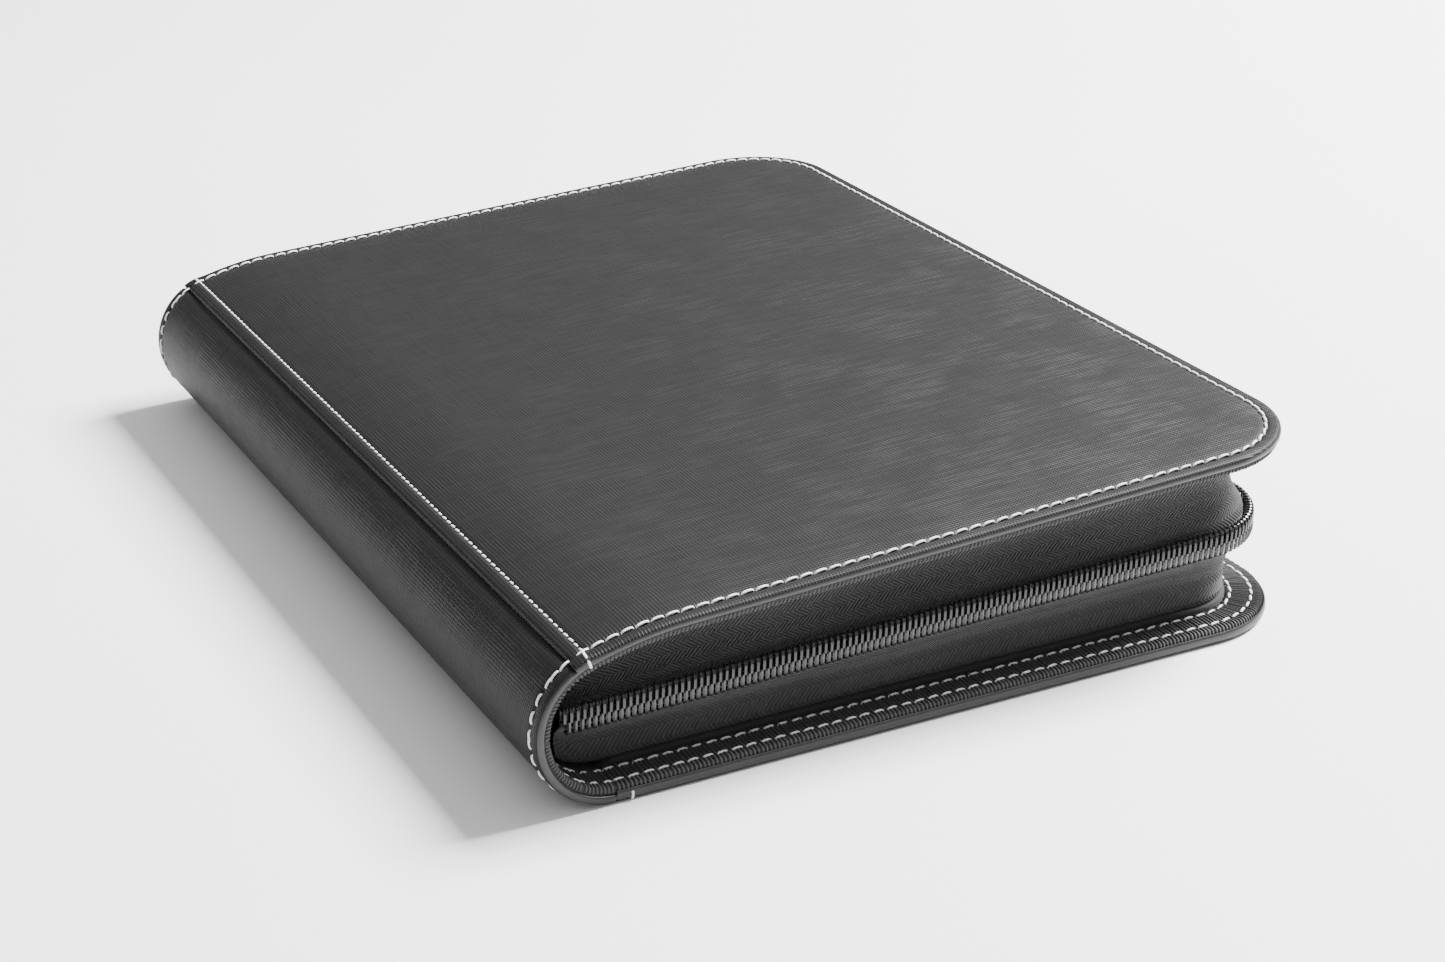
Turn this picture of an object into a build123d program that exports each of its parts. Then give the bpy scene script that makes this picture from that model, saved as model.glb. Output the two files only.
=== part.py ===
"""Zip-round trading card binder for rigid card holders, closed and lying on its back cover.

The binder is a soft shell with two stiff covers and a rounded spine. The pocket pages are sewn to a
strip inside the spine. A coil zip runs round the three open sides, half on each cover.

Frame: +X from the spine to the fore-edge, +Y along the spine to the head of the pages, +Z up from the
back cover's outer face. The origin is below the middle of the closed binder, on the surface it lies on.

The spine of the real binder bends everywhere as it opens. Here it is three curved lengths (back, middle
and front), joined to each other and to the covers by straight folds in the leather's outer face.
"""

import os
from math import cos, degrees, radians, sin, sqrt, tan

from build123d import *

# Overall sizes, in millimetres.
binder_length = 260.0  # along the spine
binder_width = 200.0  # spine to fore-edge
corner_radius = 26.0  # fore-edge corners of both covers

# Section of the closed shell, seen along the spine. Angles go round the spine, up from the back cover.
page_room = 7.2  # from the outermost pages' middles to the spine's outer face
lower_fold_angle = 60.0  # fold between the spine's back and middle lengths
upper_fold_angle = 120.0  # fold between its middle and front lengths
front_fold_angle = 150.0  # folded edge of the front cover's leather
seam_angle = 162.0  # seam of the front cover, where the spine's round ends
shoulder_radius = 88.0  # the front cover's bend from the seam to its flat part
cover_tilt = 2.9  # degrees: the closed front cover rises towards the fore-edge
fold_gap = 0.3  # between neighbouring lengths of the shell

# Layers of the shell, from the outside in.
leather_thickness = 1.2
foam_thickness = 1.2
board_thickness = 1.6
lining_thickness = 0.5
spine_board_thickness = 1.0
panel_gap = 0.3  # from the binding to the foam, board and lining
panel_setback = 3.0  # from the spine's fold or seam to the foam, board and lining

# Border: topstitching outside, ribbed binding inside.
thread_inset = 3.6  # topstitch line, in from the edge
thread_width = 0.7
thread_height = 0.35
thread_recess = 0.05  # thread below the leather's face
thread_clearance = 0.1  # thread to groove
seam_setback = 4.0  # back seam, in from the folded edge of the back cover's leather
binding_inset = 0.8
binding_width = 9.0
binding_thickness = 2.6
binding_thread_insets = (3.6, 8.8)

# Coil zip.
coil_inset = 4.5  # outer face of the coils, in from the covers' edge
coil_depth = 2.3
coil_width = 3.05  # one half of the closed teeth
coil_gap = 0.3  # between the two halves
open_gap = 2.7  # between the two halves past the slider
tape_thickness = 0.8
tape_clearance = 0.1  # tape to coil and tape to binding
zip_end_setback = 9.5  # from the centre of the spine's round to the zip's ends, inside the spine

# Slider and puller.
slider_setback = 24.0  # from the centre of the spine's round to the closed slider's middle
slider_length = 11.0
slider_plate = 0.9
slider_wall = 0.9
slider_throat = 4.0  # length over which the two halves part
slider_throat_centre = 0.5  # towards the fore-edge from the slider's middle
chain_clearance = 0.35
post_length = 3.0
post_width = 2.0
post_setback = 0.6  # post, in from the slider's nose
crown_length = 7.0
crown_width = 1.6
crown_height = 2.4
crown_wall = 0.75
pin_radius = 0.55
pin_height = 0.85  # pin's axis above the slider's outer plate
arm_width = 1.2
arm_gap = 0.4  # crown to arm
puller_thickness = 1.3
puller_reach = 6.5  # pin to tab
tab_length = 24.0
tab_width = 8.0
tab_corner = 2.0
tab_hole_radius = 1.6
tab_hole_setback = 4.2  # from the tab's free end

# Pages.
page_count = 10
page_pitch = 2.4
page_corner = 4.0
backing_thickness = 0.5
page_margin = 16.0  # plain cloth beside the spine
page_hinge_gap = 0.6  # page fold to the strip
page_root = 0.3  # cloth beyond the fold
page_hem = 1.5  # cloth beyond the pockets' half gap at the page's two ends
pocket_columns = 2
pocket_rows = 2
pocket_width = 78.5
pocket_length = 108.5
pocket_gap = 1.0
pocket_film = 0.25
pocket_room = 0.4  # inside depth of an empty pocket
pocket_weld = 1.5

# Strip that carries the pages.
strip_setback = 9.0  # from the centre of the spine's round to the strip's face
strip_thickness = 1.2
strip_margin = 0.2  # strip beyond the outermost pages' middles
web_thickness = 2.0
web_clearance = 0.15  # web to lining

# Derived sizes and places.
half_length = binder_length / 2
half_width = binder_width / 2
page_stack = (page_count - 1) * page_pitch
spine_radius = page_room + page_stack / 2  # outer radius of the rounded spine
spine_x = spine_radius - half_width  # centre of the spine's round
strip_face_x = spine_x - strip_setback
zip_end_x = spine_x - zip_end_setback
slider_x = spine_x + slider_setback
strip_height = page_stack + 2 * strip_margin
page_width = page_margin + pocket_columns * (pocket_width + pocket_gap)
page_length = pocket_rows * (pocket_length + pocket_gap) + 2 * page_hem
board_depth = leather_thickness + foam_thickness
lining_depth = board_depth + board_thickness
binding_depth = leather_thickness + binding_thickness
spine_lining_depth = leather_thickness + spine_board_thickness
binding_inner = binding_inset + binding_width
panel_inset = binding_inner + panel_gap
tape_inset = coil_inset + coil_depth + tape_clearance
fold_trim = degrees(fold_gap / 2 / (spine_radius - binding_depth))
shoulder_slope = 180.0 - seam_angle
shoulder_x = spine_x + (shoulder_radius - spine_radius) * sin(radians(shoulder_slope))
shoulder_z = spine_radius - (shoulder_radius - spine_radius) * cos(radians(shoulder_slope))
flat_x = shoulder_x - shoulder_radius * sin(radians(cover_tilt))
flat_z = shoulder_z + shoulder_radius * cos(radians(cover_tilt))
zip_tilt = cover_tilt / 2
zip_middle_z = (flat_z + (spine_x - flat_x) * tan(radians(cover_tilt))) / 2
zip_along = (cos(radians(zip_tilt)), 0, sin(radians(zip_tilt)))
zip_section = Plane(origin=(spine_x, 0, zip_middle_z), x_dir=zip_along, z_dir=(0, -1, 0))
slider_u = (slider_x - spine_x) / cos(radians(zip_tilt))
prism_height = 2 * binder_width


def round_point(angle, depth=0.0):
    """A point of the spine's round, angle degrees up from the back cover, depth in from outside."""
    reach = spine_radius - depth
    return (spine_x - reach * sin(radians(angle)), spine_radius - reach * cos(radians(angle)))


def shoulder_point(slope, depth=0.0):
    """A point of the front cover's bend, where its slope is slope degrees."""
    reach = shoulder_radius - depth
    return (shoulder_x - reach * sin(radians(slope)), shoulder_z + reach * cos(radians(slope)))


def flat_point(along, depth=0.0):
    """A point of the front cover's flat part, along millimetres from where the bend ends."""
    x, z = shoulder_point(cover_tilt, depth)
    return (x + along * cos(radians(cover_tilt)), z + along * sin(radians(cover_tilt)))


def shell_line(first, depth):
    """Draws the shell's line from angle first of the spine's round to past the fore-edge."""
    ThreePointArc(
        round_point(first, depth), round_point((first + seam_angle) / 2, depth), round_point(seam_angle, depth)
    )
    ThreePointArc(
        shoulder_point(shoulder_slope, depth),
        shoulder_point((shoulder_slope + cover_tilt) / 2, depth),
        shoulder_point(cover_tilt, depth),
    )
    Line(flat_point(0, depth), flat_point(binder_width, depth))


def spine_band(first, last, outer, inner, y=0.0):
    """Section of a curved layer of the spine between two angles and two depths."""
    with BuildSketch(Plane.XZ.offset(-y)) as section:
        with BuildLine():
            for depth in (outer, inner):
                ThreePointArc(
                    round_point(first, depth), round_point((first + last) / 2, depth), round_point(last, depth)
                )
            for angle in (first, last):
                Line(round_point(angle, outer), round_point(angle, inner))
        make_face()
    return section.sketch


def front_band(outer, inner):
    """Section of a layer of the front cover, from its fold to past the fore-edge."""
    first = front_fold_angle + fold_trim
    with BuildSketch(Plane.XZ) as section:
        with BuildLine():
            shell_line(first, outer)
            shell_line(first, inner)
            Line(round_point(first, outer), round_point(first, inner))
            Line(flat_point(binder_width, outer), flat_point(binder_width, inner))
        make_face()
    return section.sketch


def shell_inside(depth):
    """Section of the closed shell's inside, depth in from its outer face."""
    with BuildSketch(Plane.XZ) as section:
        with BuildLine():
            shell_line(0, depth)
            Line(round_point(0, depth), (binder_width, depth))
            Line((binder_width, depth), flat_point(binder_width, depth))
        make_face()
    return section.sketch


def cover_plan(inset, left):
    """Plan of a cover, inset from its three free edges, from X = left to the fore-edge."""
    right = half_width - inset
    with BuildSketch() as plan:
        with Locations(((left + right) / 2, 0)):
            Rectangle(right - left, binder_length - 2 * inset)
        fillet(plan.vertices().group_by(Axis.X)[-1], corner_radius - inset)
    return plan.sketch


def border_plan(outer_inset, inner_inset, left):
    """Plan of a band that follows a cover's three free edges, from X = left."""
    with BuildSketch() as plan:
        add(cover_plan(outer_inset, left))
        add(cover_plan(inner_inset, left), mode=Mode.SUBTRACT)
    return plan.sketch


def back_layer(plan, outer, inner):
    """A layer of the back cover between two depths."""
    with BuildPart() as layer:
        extrude(plan, amount=inner)
        with BuildSketch() as below:
            Rectangle(2 * binder_width, 2 * binder_length)
        extrude(below.sketch, amount=outer, both=True, mode=Mode.SUBTRACT)
    return layer.part


def front_layer(plan, outer, inner):
    """A layer of the front cover between two depths."""
    with BuildPart() as layer:
        extrude(front_band(outer, inner), amount=half_length, both=True)
        extrude(plan, amount=prism_height, both=True, mode=Mode.INTERSECT)
    return layer.part


def spine_layer(first, last, outer, inner, y, width):
    """A layer of one length of the spine, width millimetres wide about Y = y."""
    with BuildPart() as layer:
        band = spine_band(first + fold_trim, last - fold_trim, outer, inner, y)
        extrude(band, amount=width / 2, both=True)
    return layer.part


def stitch_plan(inset, width, left):
    """Plan of a line of stitching that follows a cover's three free edges."""
    return border_plan(inset - width / 2, inset + width / 2, left)


def chain_region(side, width, parts_at_slider):
    """Section of one half of the zip, width millimetres out from the line where the halves meet."""
    start = -2 * spine_radius
    end = 2 * binder_width
    closed = coil_gap / 2
    opened = open_gap / 2 if parts_at_slider else closed
    throat = slider_u + slider_throat_centre
    line = [
        (start, opened),
        (throat - slider_throat / 2, opened),
        (throat + slider_throat / 2, closed),
        (end, closed),
    ]
    outer = [(u, w + width) for u, w in reversed(line)]
    with BuildSketch(zip_section) as section:
        with BuildLine():
            Polyline([(u, side * w) for u, w in line + outer], close=True)
        make_face()
    return section.sketch


def zip_half(side, width, outer_inset, inner_inset):
    """One half of the zip between two insets: closed on the near side, parted past the slider."""
    with BuildPart() as half:
        extrude(chain_region(side, width, False), amount=half_length)
        extrude(chain_region(side, width, True), amount=-half_length)
        plan = border_plan(outer_inset, inner_inset, zip_end_x)
        extrude(plan, amount=prism_height, both=True, mode=Mode.INTERSECT)
        inside = shell_inside(binding_depth + tape_clearance)
        extrude(inside, amount=half_length, both=True, mode=Mode.INTERSECT)
    return half.part


def save(part, label):
    """Labels a finished piece and writes it as its own STEP file."""
    part.label = label
    export_step(part, f"parts/{label}.step")


os.makedirs("parts", exist_ok=True)

groove_width = thread_width + 2 * thread_clearance
groove_depth = thread_recess + thread_height + thread_clearance
thread_depths = (thread_recess, thread_recess + thread_height)
seam_length = binder_length - 2 * (thread_inset + thread_width)
back_left = spine_x + fold_gap / 2
front_left = -half_width
back_panel_left = spine_x + panel_setback
front_panel_left = round_point(seam_angle)[0] + panel_setback

# Back cover: leather, foam, board, lining and its stitching.
back_seam = Plane(origin=(spine_x + seam_setback, 0, 0), x_dir=(1, 0, 0), z_dir=(0, 0, 1))
with BuildPart() as back_cover_leather:
    extrude(cover_plan(0, back_left), amount=leather_thickness)
    extrude(stitch_plan(thread_inset, groove_width, back_left), amount=groove_depth, mode=Mode.SUBTRACT)
    with BuildSketch(back_seam):
        Rectangle(groove_width, binder_length)
    extrude(amount=groove_depth, mode=Mode.SUBTRACT)
save(back_cover_leather.part, "back_cover_leather")

with BuildPart() as back_cover_foam:
    add(back_layer(cover_plan(panel_inset, back_panel_left), leather_thickness, board_depth))
save(back_cover_foam.part, "back_cover_foam")

with BuildPart() as back_cover_board:
    add(back_layer(cover_plan(panel_inset, back_panel_left), board_depth, lining_depth))
save(back_cover_board.part, "back_cover_board")

with BuildPart() as back_cover_lining:
    add(back_layer(cover_plan(panel_inset, back_panel_left), lining_depth, lining_depth + lining_thickness))
save(back_cover_lining.part, "back_cover_lining")

with BuildPart() as back_cover_topstitch:
    add(back_layer(stitch_plan(thread_inset, thread_width, back_left), *thread_depths))
save(back_cover_topstitch.part, "back_cover_topstitch")

with BuildPart() as back_seam_stitch:
    with BuildSketch(back_seam.offset(thread_recess)):
        Rectangle(thread_width, seam_length)
    extrude(amount=thread_height)
save(back_seam_stitch.part, "back_seam_stitch")

# Ribbed binding inside the back cover's border, with its two lines of stitching.
with BuildPart() as back_cover_binding:
    add(back_layer(border_plan(binding_inset, binding_inner, back_left), leather_thickness, binding_depth))
    for inset in binding_thread_insets:
        plan = stitch_plan(inset, groove_width, back_left)
        add(back_layer(plan, binding_depth - groove_depth, binding_depth), mode=Mode.SUBTRACT)
save(back_cover_binding.part, "back_cover_binding")

with BuildPart() as back_binding_stitch:
    for inset in binding_thread_insets:
        plan = stitch_plan(inset, thread_width, back_left)
        add(back_layer(plan, binding_depth - thread_depths[1], binding_depth - thread_depths[0]))
save(back_binding_stitch.part, "back_binding_stitch")

# Front cover: the same layers, over the bend beside the spine and the rising flat part.
seam_normal = (-sin(radians(seam_angle)), 0, -cos(radians(seam_angle)))
seam_x, seam_z = round_point(seam_angle)
seam_tangent = (seam_normal[2], 0, -seam_normal[0])
front_seam = Plane(origin=(seam_x, 0, seam_z), x_dir=seam_tangent, z_dir=seam_normal)
with BuildPart() as front_cover_leather:
    add(front_layer(cover_plan(0, front_left), 0, leather_thickness))
    add(
        front_layer(stitch_plan(thread_inset, groove_width, front_left), -groove_depth, groove_depth),
        mode=Mode.SUBTRACT,
    )
    with BuildSketch(front_seam):
        Rectangle(groove_width, binder_length)
    extrude(amount=groove_depth, both=True, mode=Mode.SUBTRACT)
save(front_cover_leather.part, "front_cover_leather")

with BuildPart() as front_cover_foam:
    add(front_layer(cover_plan(panel_inset, front_panel_left), leather_thickness, board_depth))
save(front_cover_foam.part, "front_cover_foam")

with BuildPart() as front_cover_board:
    add(front_layer(cover_plan(panel_inset, front_panel_left), board_depth, lining_depth))
save(front_cover_board.part, "front_cover_board")

with BuildPart() as front_cover_lining:
    add(front_layer(cover_plan(panel_inset, front_panel_left), lining_depth, lining_depth + lining_thickness))
save(front_cover_lining.part, "front_cover_lining")

with BuildPart() as front_cover_topstitch:
    add(front_layer(stitch_plan(thread_inset, thread_width, front_left), *thread_depths))
save(front_cover_topstitch.part, "front_cover_topstitch")

with BuildPart() as front_seam_stitch:
    with BuildSketch(front_seam.offset(-thread_recess)):
        Rectangle(thread_width, seam_length)
    extrude(amount=-thread_height)
save(front_seam_stitch.part, "front_seam_stitch")

with BuildPart() as front_cover_binding:
    add(front_layer(border_plan(binding_inset, binding_inner, front_left), leather_thickness, binding_depth))
    for inset in binding_thread_insets:
        plan = stitch_plan(inset, groove_width, front_left)
        add(front_layer(plan, binding_depth - groove_depth, binding_depth + groove_depth), mode=Mode.SUBTRACT)
save(front_cover_binding.part, "front_cover_binding")

with BuildPart() as front_binding_stitch:
    for inset in binding_thread_insets:
        plan = stitch_plan(inset, thread_width, front_left)
        add(front_layer(plan, binding_depth - thread_depths[1], binding_depth - thread_depths[0]))
save(front_binding_stitch.part, "front_binding_stitch")

# Spine: three curved lengths of leather, board and lining, with bound and stitched ends.
spine_lengths = {
    "spine_back": (0.0, lower_fold_angle),
    "spine_middle": (lower_fold_angle, upper_fold_angle),
    "spine_front": (upper_fold_angle, front_fold_angle),
}
spine_panel_length = binder_length - 2 * panel_inset
stitch_ends = (thread_inset - half_length, half_length - thread_inset)
binding_middle = half_length - binding_inset - binding_width / 2
binding_ends = (-binding_middle, binding_middle)
for name, (first, last) in spine_lengths.items():
    with BuildPart() as spine_leather:
        add(spine_layer(first, last, 0, leather_thickness, 0, binder_length))
        for y in stitch_ends:
            groove = spine_layer(first - 1, last + 1, -groove_depth, groove_depth, y, groove_width)
            add(groove, mode=Mode.SUBTRACT)
    save(spine_leather.part, f"{name}_leather")

    with BuildPart() as spine_board:
        add(spine_layer(first, last, leather_thickness, spine_lining_depth, 0, spine_panel_length))
    save(spine_board.part, f"{name}_board")

    with BuildPart() as spine_lining:
        lining_depths = (spine_lining_depth, spine_lining_depth + lining_thickness)
        add(spine_layer(first, last, *lining_depths, 0, spine_panel_length))
    save(spine_lining.part, f"{name}_lining")

    with BuildPart() as spine_end_bindings:
        for y in binding_ends:
            add(spine_layer(first, last, leather_thickness, binding_depth, y, binding_width))
    save(spine_end_bindings.part, f"{name}_end_bindings")

    with BuildPart() as spine_end_stitches:
        for y in stitch_ends:
            add(spine_layer(first, last, *thread_depths, y, thread_width))
    save(spine_end_stitches.part, f"{name}_end_stitches")

# Zip: two tapes that stand on the bindings, and the two halves of the coil on their outer faces.
for side, name in ((-1, "lower"), (1, "upper")):
    with BuildPart() as zip_tape:
        add(zip_half(side, binder_width, tape_inset, tape_inset + tape_thickness))
    save(zip_tape.part, f"{name}_zip_tape")

    with BuildPart() as zip_coil:
        add(zip_half(side, coil_width, coil_inset, coil_inset + coil_depth))
    save(zip_coil.part, f"{name}_zip_coil")

# Slider, seen from outside: U along the zip to the fore-edge, its outer plate on the coils' outer face.
chain_z = zip_middle_z + (slider_x - spine_x) * tan(radians(zip_tilt))
slider_plane = Plane(
    origin=(slider_x, half_length - coil_inset + chain_clearance, chain_z), x_dir=zip_along, z_dir=(0, 1, 0)
)
chain_room = coil_depth + tape_clearance + tape_thickness + 2 * chain_clearance
flange_reach = coil_depth + tape_clearance
tail_half = coil_gap / 2 + coil_width + chain_clearance
nose_half = open_gap / 2 + coil_width + chain_clearance


def slider_outline(plane, wall, length):
    """Outline of the slider: wide at the nose towards the spine, narrow at the tail."""
    throat_start = slider_throat_centre - slider_throat / 2
    throat_end = slider_throat_centre + slider_throat / 2
    edge = [
        (-length / 2, nose_half + wall),
        (throat_start, nose_half + wall),
        (throat_end, tail_half + wall),
        (length / 2, tail_half + wall),
    ]
    with BuildSketch(plane) as outline:
        with BuildLine():
            Polyline(edge + [(u, -w) for u, w in reversed(edge)], close=True)
        make_face()
    return outline.sketch


with BuildPart() as zip_slider:
    extrude(slider_outline(slider_plane, slider_wall, slider_length), amount=slider_plate)
    extrude(slider_outline(slider_plane, slider_wall, slider_length), amount=-flange_reach)
    extrude(slider_outline(slider_plane, 0, 2 * slider_length), amount=-flange_reach, mode=Mode.SUBTRACT)
    fillet(zip_slider.faces().sort_by(Axis.Y)[-1].edges(), slider_plate / 3)
    inner_plane = slider_plane.offset(-chain_room)
    extrude(slider_outline(inner_plane, slider_wall, slider_length), amount=-slider_plate)
    with BuildSketch(slider_plane):
        with Locations((post_setback + (post_length - slider_length) / 2, 0)):
            RectangleRounded(post_length, post_width, post_width / 3)
    extrude(amount=-chain_room - slider_plate / 2)
    with BuildSketch(slider_plane.offset(slider_plate)):
        Rectangle(crown_length, crown_width)
    extrude(amount=crown_height)
    with BuildSketch(slider_plane.offset(slider_plate)):
        Rectangle(crown_length - 2 * crown_wall, 2 * crown_width)
    extrude(amount=crown_height - crown_wall, mode=Mode.SUBTRACT)
save(zip_slider.part, "zip_slider")

# Puller: a pin through the slider's crown, two arms and a tab that lies along the zip.
puller_plane = slider_plane.offset(slider_plate + pin_height)
arm_centre = crown_width / 2 + arm_gap + arm_width / 2
pin_length = 2 * (arm_centre + arm_width / 2)
pin_plane = Plane(origin=puller_plane.origin, x_dir=(0, 1, 0), z_dir=puller_plane.y_dir)
with BuildPart() as zip_puller:
    with BuildSketch(pin_plane):
        Circle(pin_radius)
    extrude(amount=pin_length / 2, both=True)
    with BuildSketch(puller_plane):
        with Locations((puller_reach / 2, arm_centre), (puller_reach / 2, -arm_centre)):
            Rectangle(puller_reach, arm_width)
        with Locations((puller_reach + tab_length / 2, 0)):
            RectangleRounded(tab_length, tab_width, tab_corner)
        with Locations((puller_reach + tab_length - tab_hole_setback, 0)):
            Circle(tab_hole_radius, mode=Mode.SUBTRACT)
    extrude(amount=puller_thickness / 2, both=True)
    with BuildSketch(pin_plane):
        Circle(puller_thickness / 2)
    extrude(amount=pin_length / 2, both=True)
    with BuildSketch(pin_plane):
        Rectangle(2 * puller_thickness, 2 * puller_thickness)
        Circle(pin_radius, mode=Mode.SUBTRACT)
    extrude(amount=crown_width / 2 + arm_gap, both=True, mode=Mode.SUBTRACT)
save(zip_puller.part, "zip_puller")

# Strip inside the spine that the pages are sewn to: a flat plate on a web.
lining_radius = spine_radius - spine_lining_depth - lining_thickness
web_back_x = spine_x - sqrt(lining_radius**2 - (web_thickness / 2) ** 2)
web_length = strip_face_x - strip_thickness - web_back_x - web_clearance
with BuildPart() as page_strip:
    with BuildSketch(Plane.XZ):
        with Locations((strip_face_x - strip_thickness / 2, spine_radius)):
            Rectangle(strip_thickness, strip_height)
        with Locations((strip_face_x - strip_thickness - web_length / 2, spine_radius)):
            Rectangle(web_length, web_thickness)
    extrude(amount=page_length / 2, both=True)
save(page_strip.part, "page_strip")

# Pages: cloth backing with clear pockets on both faces, each turning about its fold at the strip.
pocket_step = (pocket_width + pocket_gap, pocket_length + pocket_gap)
pocket_centre = page_margin + pocket_step[0] * pocket_columns / 2
for index in range(page_count):
    tilt = radians(cover_tilt * (index + 1) / (page_count + 1))
    page_plane = Plane(
        origin=(strip_face_x + page_hinge_gap, 0, spine_radius + (index - (page_count - 1) / 2) * page_pitch),
        x_dir=(cos(tilt), 0, sin(tilt)),
        z_dir=(-sin(tilt), 0, cos(tilt)),
    )
    with BuildPart() as page_backing:
        with BuildSketch(page_plane):
            with Locations(((page_width - page_root) / 2, 0)):
                Rectangle(page_width + page_root, page_length)
        extrude(amount=backing_thickness / 2, both=True)
        upright = page_backing.edges().filter_by(Axis(page_plane.origin, page_plane.z_dir))
        fillet(upright.group_by(Axis.X)[-1], page_corner)
    save(page_backing.part, f"page_{index + 1:02d}_backing")

    with BuildPart() as page_pockets:
        for side in (-1, 1):
            with BuildSketch(page_plane.offset(side * backing_thickness / 2)) as films:
                with Locations((pocket_centre, 0)):
                    with GridLocations(*pocket_step, pocket_columns, pocket_rows):
                        Rectangle(pocket_width, pocket_length)
            extrude(films.sketch, amount=side * (pocket_room + pocket_film))
            with BuildSketch(page_plane.offset(side * backing_thickness / 2)) as rooms:
                with Locations((pocket_centre - pocket_weld / 2, 0)):
                    with GridLocations(*pocket_step, pocket_columns, pocket_rows):
                        Rectangle(pocket_width - pocket_weld, pocket_length - 2 * pocket_weld)
            extrude(rooms.sketch, amount=side * pocket_room, mode=Mode.SUBTRACT)
    save(page_pockets.part, f"page_{index + 1:02d}_pockets")
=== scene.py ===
"""Looks of a zip-round card binder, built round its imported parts.

The binder lies closed on its back cover. The frame's X runs from the spine to the fore-edge, Y along the
spine, and Z up. Sizes in the classes are millimetres; meshes are made in metres.
"""

import logging
import math
from dataclasses import dataclass, field
from enum import Enum
from typing import Any, Callable, Sequence

import bmesh
import bpy
import numpy as np
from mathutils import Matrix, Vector
from mathutils.geometry import delaunay_2d_cdt


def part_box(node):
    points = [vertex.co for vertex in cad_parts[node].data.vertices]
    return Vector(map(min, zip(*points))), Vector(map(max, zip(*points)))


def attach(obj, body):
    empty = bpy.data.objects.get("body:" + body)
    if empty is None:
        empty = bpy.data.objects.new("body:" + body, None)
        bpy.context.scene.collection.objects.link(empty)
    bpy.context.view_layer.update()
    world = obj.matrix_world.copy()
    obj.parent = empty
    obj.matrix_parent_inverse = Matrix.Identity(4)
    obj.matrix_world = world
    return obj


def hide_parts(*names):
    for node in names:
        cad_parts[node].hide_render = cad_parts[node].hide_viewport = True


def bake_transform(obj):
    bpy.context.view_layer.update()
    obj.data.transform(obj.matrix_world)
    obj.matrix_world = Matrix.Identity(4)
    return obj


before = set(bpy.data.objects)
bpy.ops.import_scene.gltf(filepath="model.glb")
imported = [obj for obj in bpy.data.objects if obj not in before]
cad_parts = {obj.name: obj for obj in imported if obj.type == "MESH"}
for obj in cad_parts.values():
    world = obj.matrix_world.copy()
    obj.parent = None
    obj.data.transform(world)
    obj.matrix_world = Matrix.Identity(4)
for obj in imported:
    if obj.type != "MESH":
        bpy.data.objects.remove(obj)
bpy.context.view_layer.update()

MM = 0.001
MARK = "shell_place"  # point attribute: millimetres along the section, along the spine, and in depth
log = logging.getLogger("binder")


class Side(Enum):
    """One of the two covers, and the body that it is."""

    BACK = "back_cover"
    FRONT = "front_cover"


# ---------------------------------------------------------------- materials


class Sum:
    """A shader value that is worked out with Python's operators.

    Args:
        finish: the node builder that the value belongs to.
        socket: the output socket, or a plain number.
    """

    def __init__(self, finish: "Nodes", socket: Any) -> None:
        """Wraps a socket."""
        self.finish = finish
        self.socket = socket

    def _math(self, operation: str, first: Any, second: Any = 0.0) -> "Sum":
        """Adds one Math node and returns its result."""
        return self.finish.add("ShaderNodeMath", {"operation": operation}, {0: first, 1: second})

    def __add__(self, other: Any) -> "Sum":
        """self + other"""
        return self._math("ADD", self, other)

    def __radd__(self, other: Any) -> "Sum":
        """other + self"""
        return self._math("ADD", other, self)

    def __sub__(self, other: Any) -> "Sum":
        """self - other"""
        return self._math("SUBTRACT", self, other)

    def __rsub__(self, other: Any) -> "Sum":
        """other - self"""
        return self._math("SUBTRACT", other, self)

    def __mul__(self, other: Any) -> "Sum":
        """self * other"""
        return self._math("MULTIPLY", self, other)

    def __rmul__(self, other: Any) -> "Sum":
        """other * self"""
        return self._math("MULTIPLY", other, self)

    def __truediv__(self, other: Any) -> "Sum":
        """self / other"""
        return self._math("DIVIDE", self, other)

    def __pow__(self, other: Any) -> "Sum":
        """self to the power of other"""
        return self._math("POWER", self, other)

    def __abs__(self) -> "Sum":
        """The size of self, without its sign."""
        return self._math("ABSOLUTE", self)

    def most(self, other: Any) -> "Sum":
        """The larger of self and other."""
        return self._math("MAXIMUM", self, other)

    def wave(self) -> "Sum":
        """The sine of self."""
        return self._math("SINE", self)

    def ramp(self, low: float, high: float) -> "Sum":
        """Rises smoothly from 0 at low to 1 at high."""
        settings = {"interpolation_type": "SMOOTHSTEP"}
        return self.finish.add(
            "ShaderNodeMapRange", settings, {"Value": self, "From Min": low, "From Max": high}
        )


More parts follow.
